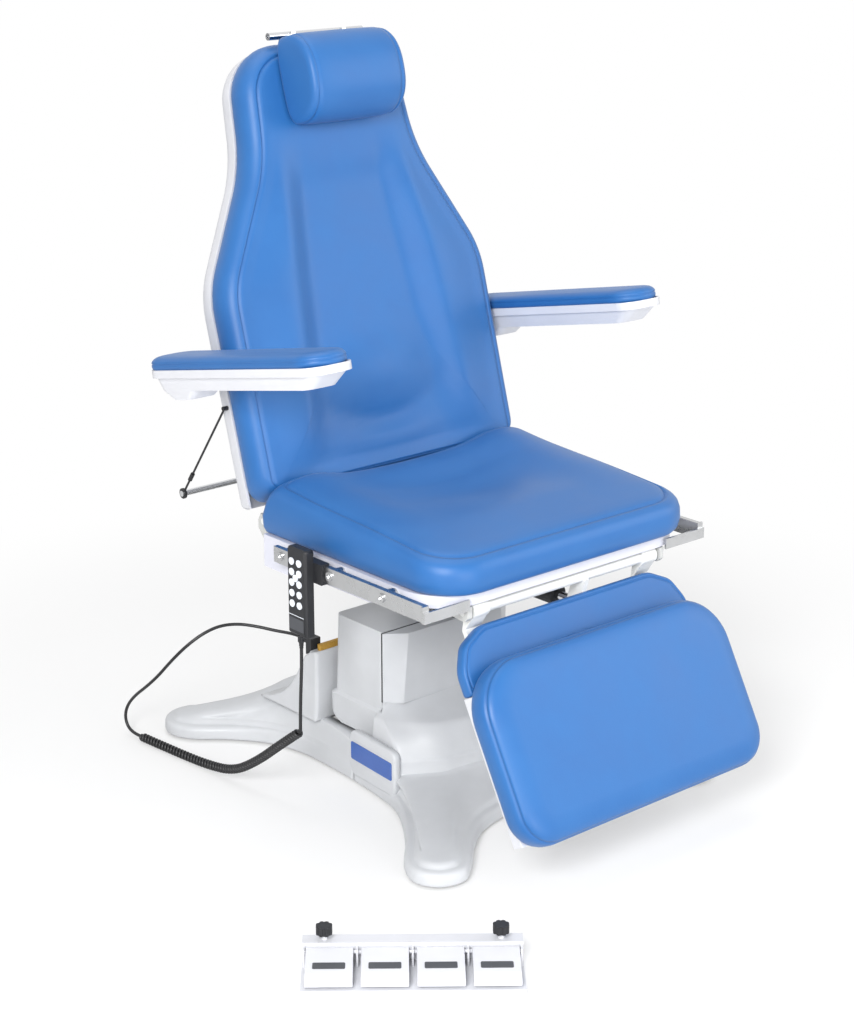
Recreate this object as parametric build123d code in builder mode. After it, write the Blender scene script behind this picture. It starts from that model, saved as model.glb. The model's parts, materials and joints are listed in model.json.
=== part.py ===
from build123d import *
from math import atan2, cos, degrees, hypot, pi, radians, sin, sqrt, tan
import os

os.makedirs("parts", exist_ok=True)

# A powered procedure chair: a four-footed base with a telescopic lift, a tilting seat, a reclining
# back with levelled armrests, a leg rest, a corded handset and a separate foot control.
# The origin is on the floor under the lift. +Z is up, the sitter faces -Y, and +X is the sitter's left.

# Fits and clearances
slip = 0.3
pin_slip = 0.05
cut_over = 2.0

# Base frame, feet and pads
pad_radius = 24.0
pad_height = 10.0
bar_width = 50.0
bar_height = 14.0
front_tip_x, front_tip_y = 300.0, -357.0
rear_tip_x, rear_tip_y = 262.0, 402.0
plate_half_x = 130.0
plate_front_y, plate_back_y = -40.0, 140.0

# Base covers
cover_lift = 5.0
cover_wall = 3.5
foot_tip_half = 58.0
foot_tip_height = 36.0
foot_corner = 14.0
front_root_x, front_root_y = 101.6, -107.4
rear_root_x, rear_root_y = 63.6, 152.4
foot_reach_shares = (0.0, 0.25, 0.5, 0.75, 1.0)
foot_height_shares = (1.0, 1.22, 1.6, 2.0, 2.22)
web_side_x, web_side_y = 162.0, -309.0
web_front_y = -274.0
web_back_y = -110.0
web_height = 24.0
split_y = 14.0
split_gap = 1.5
tower_heights = (62.0, 90.0, 146.0)
tower_top_z = 165.0
tower_top_half_x = 150.0
tower_top_front_y = -62.0
deck_half_x = 160.0
deck_z = 86.0
crest_half_x = 178.0
crest_front_y, crest_back_y = 124.0, 142.0
crest_z = 220.0
ramp_end_y = 338.0
ramp_end_z = 70.0

# Upper front cover, its seal and the trim on the covers
mast_depth = 26.0
mast_top_half_x = 112.0
mast_z = 298.0
seal_depth = 2.7
seal_width = 5.0
strip_height = 11.0
strip_depth = 9.0
strip_half_x = 165.0
plate_length = 125.0
plate_width = 34.0
plate_thick = 1.2
plate_center_y = -57.0
plate_center_z = 73.0
panel_length = 140.0
panel_height = 88.0
panel_relief = 10.0
panel_center_y = -58.0
panel_center_z = 68.0
well_half_x = 146.0

# Telescopic lift
column_y = 40.0
column_half_x = 100.0
column_half_y = 45.0
column_wall = 5.0
column_top_z = 268.0
column_step_z = 6.0
lift_travel = 330.0
screw_radius = 28.0
screw_wall = 6.0
motor_radius = 30.0
motor_height = 70.0
head_thick = 14.0

# Lift hood
hood_half_x = 150.0
hood_bulge = 6.0
hood_front_y = -30.0
hood_back_y = 100.0
hood_bulge_y = 15.0
hood_bottom_z = 91.0
hood_bulge_z = 150.0
hood_top_z = 300.0
hood_wall = 4.0
hood_round = 14.0
hood_heel = 42.0

# Tilt pivot and neck
tilt_y = 30.0
tilt_z = 350.0
tilt_rod_x = 125.0
tilt_rod_y = 76.0
tilt_pin_radius = 10.0
tilt_pin_rise = 22.0
tilt_drift = 5.2
tilt_slot_angle = 21.0
pin_reach = 24.0
ear_inner_x = 30.0
ear_thick = 12.0
ear_half_y = 20.0
neck_barrel_radius = 45.0
neck_half_x = 62.0
neck_flare_x = 112.0
neck_flare_y = 78.0
neck_wall = 3.5

# Seat
seat_half_x = 300.0
seat_front_y = -352.0
seat_back_y = 112.0
seat_corner = 85.0
pan_top_z = 483.0
pan_deck = 8.0
pan_wall = 7.0
pan_skirt_z = 437.0
pan_front_z = 461.0
pan_heel_z = 424.0
pan_heel_front_y = 38.0
seat_nose = 20.0
seat_cushion_back_y = 136.0
seat_seam_rear_z = 566.0
seat_seam_front_z = 540.0
seat_crown = 12.0
seat_heel_draw = 12.0
control_box_x, control_box_y = -110.0, -215.0
control_box_length, control_box_width, control_box_height = 150.0, 100.0, 38.0
frame_z = 440.0
frame_height = 35.0
frame_bar = 30.0
frame_bar_x = 150.0
front_bar_y = -275.0
rear_bar_y = 66.0

# Side rails
rail_face_x = 328.0
rail_thick = 9.5
rail_height = 28.6
rail_z = 470.0
rail_front_y = -350.0
rail_length = 395.0
rail_bolt_shares = (0.263, 0.608, 0.952)
bolt_radius = 4.0
bolt_head_radius = 8.0
bolt_head = 3.0
spacer_radius = 11.0
stop_thick = 4.0
stop_reach = 3.5

# Back
back_hinge_y, back_hinge_z = 150.0, 490.0
back_lean = 16.0
back_travel = 74.0
hinge_radius = 6.0
eye_radius = 14.0
hinge_ear_x = 262.0
hinge_ear_thick = 10.0
back_front = 68.5
back_rear = 8.5
shell_depth = 44.0
shell_wall = 4.0
shell_lip = 2.0
back_half_x = 303.0
back_neck_x = 190.0
back_crown_x = 172.0
back_foot = 24.0
back_shoulder = 415.0
back_neck = 625.0
back_top = 826.0
back_crown_corner = 95.0
back_neck_corner = 260.0
back_shoulder_corner = 180.0
trough_low, trough_high = 170.0, 650.0
trough_depth = 9.0
upright_top = 632.0
post_width = 60.0
post_thick = 8.0
post_n = -8.0
post_foot = 440.0
post_top = 844.0
tube_n = 60.0
cross_radius = 6.5
pillow_reach_shares = (-1.0, -0.95, -0.8, 0.8, 0.95, 1.0)
pillow_size_shares = (0.86, 0.96, 1.0, 1.0, 0.96, 0.86)
upright_x = 152.0
upright_width = 25.0
upright_depth = 26.0

# Armrests
arm_pivot_u, arm_pivot_n = 262.0, -12.0
rod_half_x = 325.0
rod_y, rod_z = 325.0, 511.0
paper_rod_radius = 5.5
strap_radius = 2.0
hook_y, hook_z = 208.0, 693.0
ferrule_share = 0.2
arm_shaft_radius = 7.2
crank_radius = 17.5
crank_thick = 10.0
link_arm_y, link_arm_z = 8.4, -11.2
link_pin_radius = 3.0
link_half = 5.0
link_thick = 8.0
link_gap = 8.0
arm_center_x = 361.0
arm_half_x = 49.0
arm_pitch = 11.4
arm_front, arm_rear = -425.0, 62.0
arm_rim = 35.0
arm_corner = 34.0
arm_pad_sink = 5.0
arm_lip = 14.0
arm_body = 24.0
arm_inset = 8.0
arm_wall = 3.5
arm_pad_height = 22.0
pod_half = 58.0
pod_drop = 20.0

# Headrest
headrest_bottom, headrest_top = 676.0, 835.0
headrest_rear = 72.0
headrest_front = 170.0
headrest_half_x = 107.0

# Leg rest
leg_hinge_y, leg_hinge_z = -338.0, 446.0
leg_lean = 29.0
leg_travel_down, leg_travel_up = 25.0, 61.0
leg_arm_x = 200.0
leg_arm_width = 34.0
leg_half_x = 288.0
leg_top, leg_bottom = -92.0, -401.0
leg_front = 50.0
leg_crown = 9.0
leg_top_corner = 92.0
leg_bottom_corner = 60.0
flap_top = -27.0
flap_rear, flap_front = -24.0, -2.3
flap_half_x, flap_wide_x = 200.0, 246.0
flap_corner_v, flap_bottom = -50.0, -135.0

# Slotted levers and their actuators
lever_thick = 10.0
lever_half = 14.5
drive_pin_radius = 6.0
drive_play = 2.6
rod_radius = 9.0
tube_radius = 19.0
back_drop = 76.0
leg_drop = 60.0
back_drive_x = 162.0
back_drive_end_y = 70.0
back_drive_length = 235.0
back_pin_offset = 54.9
back_slide_rate = 85.0
leg_drive_x = 60.0
leg_drive_front_y = -264.0
leg_drive_length = 200.0
leg_pin_offset = 22.0
leg_slide_rate = 70.0

# Handset, its rail clamp and its lead
handset_y = -51.5
handset_width = 51.0
handset_thick = 19.0
handset_top_z, handset_bottom_z = 510.0, 352.0
handset_gap = 5.0
clip_mid_y = -59.0
clip_length = 78.0
clip_wall = 4.0
key_top = 62.0
key_pitch_y, key_pitch_z = 20.0, 19.0
key_radius = 6.5
key_rise = 1.6
relief_length = 12.0
lead_radius = 3.0
curl_radius = 8.7
curl_count = 64
curl_route = [
    (-350, -50, 172),
    (-350, 7, 129),
    (-350, 74, 75),
    (-351, 149, 27),
    (-351, 235, 10),
    (-363, 330, 10),
    (-372, 425, 10),
]
arc_points = [
    (-374, 446, 10),
    (-375, 465, 19),
    (-375, 472, 39),
    (-374, 462, 64),
    (-372, 438, 90),
    (-368, 406, 116),
    (-361, 374, 146),
    (-349, 346, 182),
    (-331, 322, 214),
    (-303, 308, 236),
    (-268, 301, 246),
    (-233, 288, 245),
    (-205, 264, 239),
    (-185, 238, 233.5),
    (-170, 216, 231.5),
    (-164, 198, 231),
]
socket_x, socket_y, socket_z = -164.0, 158.0, 231.0
plug_length = 26.0
plug_radius = 6.5

# Foot control
control_x, control_y = -550.0, -583.0
control_turn = -40.1
control_width = 341.0
control_depth = 118.0
control_height = 12.0
pedal_count = 4
pedal_gap = 12.0
pedal_hinge_z = 30.0
pedal_barrel = 7.0
pedal_pin = 3.0
pedal_clear = 4.0
pedal_thick = 9.0
ridge_depth = 26.0
ridge_height = 42.0
knob_inset = 34.0
knob_radius = 13.0
knob_rise = 14.0
post_size = 4.5
post_rise = 20.0

# Shares of the foot covers and of the outlines of the padding
foot_front_width_shares = ((0.97, 0.92, 0.94, 1.16, 1.66), (0.95, 1.14, 1.66, 2.05, 2.2))
foot_rear_width_shares = ((1.0, 0.83, 0.8, 0.97, 1.64), (0.97, 1.07, 1.45, 1.8, 2.05))
foot_shoulder_share = 0.45
foot_nose_reach_shares = (0.97, 0.82, 0.5)
foot_nose_height_shares = (0.78, 0.9, 0.97)

# Front tower cover in plan, level by level
tower_side_x = 178.0
tower_corner_x, tower_corner_y = 188.0, -118.0
tower_front_y = -178.0
tower_band = 14.0
tower_ledge_x, tower_ledge_y, tower_ledge_front = 172.0, -60.0, -162.0
tower_back_y = -35.0
tower_shoulder_z = 112.0


def outline(points, plane=Plane.YZ):
    """A closed outline with straight sides."""
    with BuildSketch(plane) as flat:
        with BuildLine():
            Polyline(*points, close=True)
        make_face()
    return flat.sketch


def disc(plane, radius):
    """A round outline."""
    with BuildSketch(plane) as flat:
        Circle(radius)
    return flat.sketch


def slab(plane, width, height, corner=0):
    """A rectangular outline with optional round corners."""
    with BuildSketch(plane) as flat:
        if corner:
            RectangleRounded(width, height, corner)
        else:
            Rectangle(width, height)
    return flat.sketch


def slot(plane, travel, height):
    """A slot outline whose end centres lie one travel apart."""
    with BuildSketch(plane) as flat:
        SlotCenterToCenter(travel, height)
    return flat.sketch


def across(x, y, z):
    """A plane through a point that looks along +X, with Y and Z as its axes."""
    return Plane(origin=(x, y, z), x_dir=(0, 1, 0), z_dir=(1, 0, 0))


def level(x, y, z):
    """A horizontal plane through a point."""
    return Plane(origin=(x, y, z))


def facing(x, y, z):
    """A plane through a point that looks along -Y, with X and Z as its axes."""
    return Plane(origin=(x, y, z), x_dir=(1, 0, 0), z_dir=(0, -1, 0))


def foot_section(tip, root, share, outer, inner, height, inset, floor):
    """The arched cross section of a foot cover at a share of its length."""
    along = (Vector(*root) - Vector(*tip)).normalized()
    place = Vector(*tip) + (Vector(*root) - Vector(*tip)) * share
    cut = Plane(origin=place, x_dir=(-along.Y, along.X, 0), z_dir=along)
    left, right = (inner, outer) if tip[0] * tip[1] > 0 else (outer, inner)
    left, right = left - inset, right - inset
    top = height - inset
    shoulder = floor + (top - floor) * foot_shoulder_share
    with BuildSketch(cut) as flat:
        with BuildLine():
            Polyline((-left, shoulder), (-left, floor), (right, floor), (right, shoulder))
            ThreePointArc((right, shoulder), (0, top), (-left, shoulder))
        make_face()
    return flat.sketch


def foot_sections(tip, root, width_shares, inset, floor):
    """All cross sections of a foot cover, from its rounded nose over the tip to its root."""
    length = (Vector(*root) - Vector(*tip)).length
    nose = [
        foot_section(
            tip,
            root,
            -(foot_tip_half - inset) * ahead / length,
            (foot_tip_half - inset) * sqrt(1 - ahead**2) + inset,
            (foot_tip_half - inset) * sqrt(1 - ahead**2) + inset,
            foot_tip_height * high,
            inset,
            floor,
        )
        for ahead, high in zip(foot_nose_reach_shares, foot_nose_height_shares)
    ]
    return nose + [
        foot_section(
            tip, root, reach, foot_tip_half * outer, foot_tip_half * inner, foot_tip_height * high, inset, floor
        )
        for reach, outer, inner, high in zip(foot_reach_shares, *width_shares, foot_height_shares)
    ]


def web_plan(z, side_x, side_y, front_y, inset):
    """The low web between the two front feet, hollowed at its front."""
    with BuildSketch(level(0, 0, z)) as flat:
        with BuildLine():
            Polyline(
                (-side_x + inset, side_y), (-side_x + inset, web_back_y), (side_x - inset, web_back_y), (side_x - inset, side_y)
            )
            ThreePointArc((side_x - inset, side_y), (0, front_y), (-side_x + inset, side_y))
        make_face()
    return flat.sketch


def tower_plan(z, side_x, corner_x, corner_y, front_y, back_y, inset=0):
    """The tower's plan: straight back, flared sides and a bowed front."""
    with BuildSketch(level(0, 0, z)) as flat:
        with BuildLine():
            Polyline(
                (-corner_x + inset, corner_y),
                (-side_x + inset, back_y),
                (side_x - inset, back_y),
                (corner_x - inset, corner_y),
            )
            ThreePointArc((corner_x - inset, corner_y), (0, front_y + inset), (-corner_x + inset, corner_y))
        make_face()
    return flat.sketch


flare_x = tower_corner_x - tower_side_x
flare_y = split_y - tower_corner_y
flare = atan2(flare_x, flare_y)


def side_face(side, y, z, lift):
    """A plane that lies along a flared side of the tower, a little proud of it."""
    face_x = tower_side_x + tower_band / 4 + flare_x * (split_y - y) / flare_y + lift
    return Plane(
        origin=(side * face_x, y, z),
        x_dir=(side * sin(flare), -cos(flare), 0),
        z_dir=(side * cos(flare), sin(flare), 0),
    )


front_tips = [(side * front_tip_x, front_tip_y) for side in (-1, 1)]
front_roots = [(side * front_root_x, front_root_y) for side in (-1, 1)]
rear_tips = [(side * rear_tip_x, rear_tip_y) for side in (-1, 1)]
rear_roots = [(side * rear_root_x, rear_root_y) for side in (-1, 1)]
bar_top_z = pad_height + bar_height
column_foot_z = bar_top_z + pad_height + cut_over * 3

# Welded chassis: a centre plate on four bars
with BuildPart() as base_frame:
    extrude(
        outline(
            [
                (-plate_half_x, plate_front_y),
                (plate_half_x, plate_front_y),
                (plate_half_x, plate_back_y),
                (-plate_half_x, plate_back_y),
            ],
            level(0, 0, bar_top_z),
        ),
        amount=column_foot_z - bar_top_z,
    )
    for tip in front_tips + rear_tips:
        reach = Vector(*tip) - Vector(0, column_y)
        angle = degrees(atan2(reach.Y, reach.X))
        with BuildSketch(level(0, column_y, pad_height).rotated((0, 0, angle))) as bar:
            with Locations((reach.length / 2, 0)):
                Rectangle(reach.length, bar_width)
        extrude(bar.sketch, amount=bar_height)
        extrude(disc(level(tip[0], tip[1], pad_height), bar_width / 2), amount=bar_height)
base_frame.part.label = "base_frame"
export_step(base_frame.part, "parts/base_frame.step")

# Round pads under the four feet and one under the middle of the chassis
with BuildPart() as foot_pads:
    for tip in front_tips + rear_tips + [(0, 0)]:
        extrude(disc(level(tip[0], tip[1], 0), pad_radius), amount=pad_height)
foot_pads.part.label = "foot_pads"
export_step(foot_pads.part, "parts/foot_pads.step")

# Front base cover: the tower in front of the lift and the two front feet, one hollow moulding
with BuildPart() as front_base_cover:
    for inset, mode in ((0, Mode.ADD), (cover_wall, Mode.SUBTRACT)):
        floor = cover_lift if mode == Mode.ADD else -cut_over
        back = split_y if mode == Mode.ADD else split_y + cut_over
        top = deck_z - inset
        bands = (
            (floor, 2 * tower_band),
            (tower_heights[0] - tower_band, 2 * tower_band),
            (tower_heights[0], tower_band),
            (tower_heights[1] - tower_band, tower_band),
            (top, tower_band / 2),
        )
        loft(
            [
                tower_plan(
                    z,
                    tower_side_x + grow / 4,
                    tower_corner_x + grow / 4,
                    tower_corner_y - grow / 4,
                    tower_front_y - grow,
                    back,
                    inset,
                )
                for z, grow in bands
            ],
            ruled=True,
            mode=mode,
        )
        base_z = deck_z - 2 * inset
        wall_y = tower_back_y - inset
        loft(
            [
                tower_plan(
                    base_z,
                    tower_side_x + tower_band / 8,
                    tower_corner_x + tower_band / 8,
                    tower_corner_y - tower_band / 8,
                    tower_front_y - tower_band / 2,
                    wall_y,
                    inset,
                ),
                tower_plan(
                    tower_heights[1] + cut_over,
                    tower_side_x,
                    tower_corner_x,
                    tower_corner_y,
                    tower_front_y,
                    wall_y,
                    inset,
                ),
                tower_plan(
                    tower_shoulder_z, tower_side_x, tower_corner_x, tower_corner_y, tower_front_y, wall_y, inset
                ),
                tower_plan(
                    tower_heights[2] - inset,
                    tower_ledge_x,
                    tower_ledge_x,
                    tower_ledge_y,
                    tower_ledge_front,
                    wall_y,
                    inset,
                ),
                tower_plan(
                    tower_top_z - inset,
                    tower_top_half_x,
                    tower_top_half_x,
                    wall_y - cut_over,
                    tower_top_front_y,
                    wall_y,
                    inset,
                ),
            ],
            ruled=True,
            mode=mode,
        )
        loft(
            [
                web_plan(floor, web_side_x, web_side_y + inset, web_front_y + inset, inset),
                web_plan(web_height - inset, web_side_x, web_side_y + inset, web_front_y + inset, inset),
                web_plan(
                    tower_heights[0] - inset,
                    web_side_x - web_height,
                    tower_front_y + inset,
                    tower_front_y + inset + cut_over,
                    inset,
                ),
            ],
            ruled=True,
            mode=mode,
        )
        for tip, root in zip(front_tips, front_roots):
            loft(foot_sections(tip, root, foot_front_width_shares, inset, floor), ruled=True, mode=mode)
    for side in (-1, 1):
        look = side_face(side, panel_center_y, panel_center_z, panel_relief)
        extrude(slab(look, panel_length, panel_height, foot_corner), amount=-panel_relief - 2 * cut_over)
        look = side_face(side, plate_center_y, plate_center_z, panel_relief)
        seat = slab(look, plate_length + slip, plate_width + slip, foot_corner / 4)
        extrude(seat, amount=panel_relief, mode=Mode.SUBTRACT)
    extrude(
        outline(
            [
                (-well_half_x, -cut_over + column_y - column_half_y),
                (well_half_x, -cut_over + column_y - column_half_y),
                (well_half_x, split_y + cut_over),
                (-well_half_x, split_y + cut_over),
            ],
            level(0, 0, deck_z - cover_wall - cut_over),
        ),
        amount=cover_wall + 2 * cut_over,
        mode=Mode.SUBTRACT,
    )
front_base_cover.part.label = "front_base_cover"
export_step(front_base_cover.part, "parts/front_base_cover.step")

# Rear base cover: deck behind the split, crest with its ramp, and the two rear feet
with BuildPart() as rear_base_cover:
    for inset, mode in ((0, Mode.ADD), (cover_wall, Mode.SUBTRACT)):
        floor = cover_lift if mode == Mode.ADD else -cut_over
        front = split_y + split_gap if mode == Mode.ADD else split_y - cut_over
        deck_top = deck_z - inset
        deck_back = ramp_end_y - inset
        half = deck_half_x - inset
        loft(
            [
                outline(
                    [(-wide, front), (wide, front), (wide, back), (-wide, back)],
                    level(0, 0, z),
                )
                for z, wide, back in (
                    (floor, half + tower_band, deck_back),
                    (deck_top, half, deck_back),
                )
            ],
            ruled=True,
            mode=mode,
        )
        loft(
            [
                outline(
                    [
                        (-crest_half_x - flare + inset, y_front),
                        (crest_half_x + flare - inset, y_front),
                        (crest_half_x + flare - inset, y_back),
                        (-crest_half_x - flare + inset, y_back),
                    ],
                    level(0, 0, z),
                )
                for z, flare, y_front, y_back in (
                    (ramp_end_z - inset, deck_half_x - crest_half_x, crest_front_y + inset, ramp_end_y - 2 * inset),
                    (crest_z - inset, 0, crest_front_y + inset, crest_back_y - inset / 2),
                )
            ],
            ruled=True,
            mode=mode,
        )
        for tip, root in zip(rear_tips, rear_roots):
            loft(foot_sections(tip, root, foot_rear_width_shares, inset, floor), ruled=True, mode=mode)
    extrude(
        outline(
            [
                (-well_half_x, split_y),
                (well_half_x, split_y),
                (well_half_x, cut_over + column_y + column_half_y),
                (-well_half_x, cut_over + column_y + column_half_y),
            ],
            level(0, 0, deck_z - cover_wall - cut_over),
        ),
        amount=cover_wall + 2 * cut_over,
        mode=Mode.SUBTRACT,
    )
rear_base_cover.part.label = "rear_base_cover"
export_step(rear_base_cover.part, "parts/rear_base_cover.step")

# Upper front cover that stands on the tower in front of the hood, open towards the lift
seal_y = hood_front_y - slip - seal_depth
with BuildPart() as mast_cover:
    for inset, mode in ((0, Mode.ADD), (cover_wall, Mode.SUBTRACT)):
        back = seal_y if mode == Mode.ADD else seal_y + cut_over
        base_z = tower_top_z if mode == Mode.ADD else tower_top_z - cut_over
        loft(
            [
                outline(
                    [
                        (-tower_top_half_x + inset, back),
                        (tower_top_half_x - inset, back),
                        (tower_top_half_x - inset, seal_y - edge),
                        (front_x - inset, tower_top_front_y + inset),
                        (-front_x + inset, tower_top_front_y + inset),
                        (-tower_top_half_x + inset, seal_y - edge),
                    ],
                    level(0, 0, z),
                )
                for z, front_x, edge in (
                    (base_z, tower_top_half_x - mast_depth, cut_over),
                    (mast_z - inset, mast_top_half_x, cut_over),
                )
            ],
            ruled=True,
            mode=mode,
        )
mast_cover.part.label = "mast_cover"
export_step(mast_cover.part, "parts/mast_cover.step")

# Soft seal on the rear rim of the upper front cover
with BuildPart() as cover_gasket:
    extrude(
        outline(
            [
                (-tower_top_half_x, tower_top_z),
                (-tower_top_half_x, mast_z),
                (tower_top_half_x, mast_z),
                (tower_top_half_x, tower_top_z),
                (tower_top_half_x - seal_width, tower_top_z),
                (tower_top_half_x - seal_width, mast_z - seal_width),
                (-tower_top_half_x + seal_width, mast_z - seal_width),
                (-tower_top_half_x + seal_width, tower_top_z),
            ],
            facing(0, seal_y + seal_depth, 0),
        ),
        amount=seal_depth,
    )
cover_gasket.part.label = "cover_gasket"
export_step(cover_gasket.part, "parts/cover_gasket.step")

# Grip strip along the crest of the rear cover
crest_mid_y = (crest_front_y + crest_back_y) / 2
with BuildPart() as grip_strip:
    extrude(
        slab(level(0, crest_mid_y, crest_z), 2 * strip_half_x, strip_depth, strip_depth / 3),
        amount=strip_height,
    )
grip_strip.part.label = "grip_strip"
export_step(grip_strip.part, "parts/grip_strip.step")

# Plain rating plates on the raised panels of the tower's two sides
with BuildPart() as nameplate:
    for side in (-1, 1):
        look = side_face(side, plate_center_y, plate_center_z, panel_relief)
        extrude(slab(look, plate_length, plate_width, plate_thick * 3), amount=plate_thick)
nameplate.part.label = "nameplate"
export_step(nameplate.part, "parts/nameplate.step")


def stage(inset):
    """The plan of one telescopic stage."""
    return slab(level(0, column_y, 0), 2 * (column_half_x - inset), 2 * (column_half_y - inset))


# Three telescopic stages, each a tube inside the one before, with a nut plate at each moving foot
stage_step = column_wall + slip + slip
nut_thick = 2 * column_wall
screw_shift = 4 * motor_height / 7
screw_thread = screw_radius / 3.5
bolt_play = slip + slip
stage_foot_z = column_foot_z + column_step_z
inner_foot_z = stage_foot_z + nut_thick + slip + slip

with BuildPart() as lift_column_outer:
    extrude(stage(0), amount=column_top_z)
    extrude(stage(column_wall), amount=column_top_z, mode=Mode.SUBTRACT)
    split(bisect_by=Plane.XY.offset(column_foot_z), keep=Keep.TOP)
lift_column_outer.part.label = "lift_column_outer"
export_step(lift_column_outer.part, "parts/lift_column_outer.step")

with BuildPart() as lift_column_middle:
    extrude(stage(stage_step), amount=column_top_z + column_step_z)
    extrude(stage(stage_step + column_wall), amount=column_top_z + column_step_z, mode=Mode.SUBTRACT)
    split(bisect_by=Plane.XY.offset(stage_foot_z), keep=Keep.TOP)
    with BuildSketch(level(0, column_y, stage_foot_z)):
        Rectangle(2 * (column_half_x - stage_step - slip), 2 * (column_half_y - stage_step - slip))
        Circle(screw_thread + bolt_play, mode=Mode.SUBTRACT)
    extrude(amount=nut_thick)
    extrude(
        disc(level(screw_shift, column_y, stage_foot_z + nut_thick), screw_thread),
        amount=column_top_z - inner_foot_z - nut_thick,
    )
lift_column_middle.part.label = "lift_column_middle"
export_step(lift_column_middle.part, "parts/lift_column_middle.step")

head_z = column_top_z + nut_thick
with BuildPart() as lift_column_inner:
    extrude(stage(2 * stage_step), amount=head_z)
    extrude(stage(2 * stage_step + column_wall), amount=head_z, mode=Mode.SUBTRACT)
    split(bisect_by=Plane.XY.offset(inner_foot_z), keep=Keep.TOP)
    with BuildSketch(level(0, column_y, inner_foot_z)):
        Rectangle(2 * (column_half_x - 2 * stage_step - slip), 2 * (column_half_y - 2 * stage_step - slip))
        Circle(screw_thread + bolt_play, mode=Mode.SUBTRACT)
        with Locations((screw_shift, 0)):
            Circle(screw_thread + bolt_play, mode=Mode.SUBTRACT)
    extrude(amount=nut_thick)
lift_column_inner.part.label = "lift_column_inner"
export_step(lift_column_inner.part, "parts/lift_column_inner.step")

# Lift motor beside the column, with its gear case under it, and the first spindle inside the column
motor_x = -column_half_x - motor_radius * 2 / 3 - cut_over
with BuildPart() as lift_motor:
    extrude(disc(level(motor_x, column_y, column_foot_z), motor_radius * 2 / 3), amount=2 * motor_height)
    extrude(
        disc(level(0, column_y, column_foot_z), screw_thread), amount=column_top_z - inner_foot_z
    )
lift_motor.part.label = "lift_motor"
export_step(lift_motor.part, "parts/lift_motor.step")


def hood_plan(z, half_x, back_y, inset, round_share=1):
    """The hood's plan with round rear corners."""
    front = hood_front_y + inset
    back = back_y - inset
    half = half_x - inset
    with BuildSketch(level(0, 0, z)) as flat:
        with BuildLine():
            Polyline((-half, front), (half, front), (half, back), (-half, back), close=True)
        make_face()
        fillet(flat.vertices().group_by(Axis.Y)[-1], (hood_round - inset / 2) * round_share)
        fillet(flat.vertices().group_by(Axis.Y)[0], hood_round / 3)
    return flat.sketch


# Hood over the lift: it rises with the inner stage and is open at the bottom
with BuildPart() as lift_hood:
    for inset, mode in ((0, Mode.ADD), (hood_wall, Mode.SUBTRACT)):
        over = 0 if mode == Mode.ADD else cut_over
        loft(
            [
                hood_plan(hood_bottom_z - over, hood_half_x + hood_bulge, hood_back_y + hood_bulge_y, inset),
                hood_plan(
                    hood_bulge_z - hood_bulge - inset, hood_half_x + hood_bulge, hood_back_y + hood_bulge_y, inset
                ),
                hood_plan(hood_bulge_z - inset / 2, hood_half_x, hood_back_y + hood_bulge_y / 2, inset),
                hood_plan(hood_top_z - inset, hood_half_x, hood_back_y, inset),
            ],
            ruled=True,
            mode=mode,
        )
    heel_y = hood_back_y + hood_bulge_y
    extrude(
        outline(
            [
                (heel_y - hood_heel, hood_bottom_z - cut_over),
                (heel_y + cut_over, hood_bottom_z - cut_over),
                (heel_y + cut_over, hood_bottom_z + hood_heel),
                (heel_y - hood_heel / 8, hood_bottom_z + hood_heel / 2),
                (heel_y - hood_heel / 2, hood_bottom_z + hood_heel / 8),
            ],
            Plane.YZ,
        ),
        amount=hood_half_x + hood_bulge + cut_over,
        both=True,
        mode=Mode.SUBTRACT,
    )
    opening_x = 2 * (ear_inner_x + ear_thick + 2 * slip)
    with BuildSketch(level(0, tilt_y, hood_top_z - hood_wall - cut_over)):
        Rectangle(opening_x, 2 * (ear_half_y + 2 * slip))
        with Locations((tilt_rod_x, tilt_rod_y - tilt_y)):
            Circle(rod_radius + 4 * slip)
    extrude(amount=hood_wall + 2 * cut_over, mode=Mode.SUBTRACT)
lift_hood.part.label = "lift_hood"
export_step(lift_hood.part, "parts/lift_hood.step")

# Head of the lift: a plate on the inner stage, with two ears and the tilt pin
ear_y = ear_half_y
with BuildPart() as lift_head:
    extrude(
        outline(
            [
                (-column_half_x + column_wall, column_y - column_half_y + column_wall),
                (hood_half_x - hood_wall - slip - cut_over, column_y - column_half_y + column_wall),
                (hood_half_x - hood_wall - slip - cut_over, column_y + column_half_y + column_wall),
                (-column_half_x + column_wall, column_y + column_half_y - column_wall),
            ],
            level(0, 0, head_z),
        ),
        amount=head_thick,
    )
    for side in (-1, 1):
        with BuildSketch(across(side * ear_inner_x, tilt_y, tilt_z)):
            Circle(ear_half_y)
            with Locations((0, (head_z + head_thick - tilt_z) / 2)):
                Rectangle(2 * ear_half_y, tilt_z - head_z - head_thick)
        extrude(amount=side * ear_thick)
    extrude(disc(across(-ear_inner_x, tilt_y, tilt_z), tilt_pin_radius), amount=2 * ear_inner_x)
    extrude(
        disc(level(tilt_rod_x, tilt_rod_y, head_z - cut_over), rod_radius + slip),
        amount=head_thick + 2 * cut_over,
        mode=Mode.SUBTRACT,
    )
lift_head.part.label = "lift_head"
export_step(lift_head.part, "parts/lift_head.step")

# Tilt drive: a housing under the head plate and its rod with a cross pin
tilt_drive_radius = tube_radius - cut_over
tilt_drive_length = 2.2 * motor_height
tilt_pin_z = tilt_z + tilt_pin_rise
with BuildPart() as tilt_actuator:
    extrude(disc(level(tilt_rod_x, tilt_rod_y, head_z - tilt_drive_length), tilt_drive_radius), amount=tilt_drive_length)
    extrude(
        disc(level(tilt_rod_x, tilt_rod_y, head_z - tilt_drive_length + column_wall), rod_radius + slip),
        amount=tilt_drive_length,
        mode=Mode.SUBTRACT,
    )
tilt_actuator.part.label = "tilt_actuator"
export_step(tilt_actuator.part, "parts/tilt_actuator.step")

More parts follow.
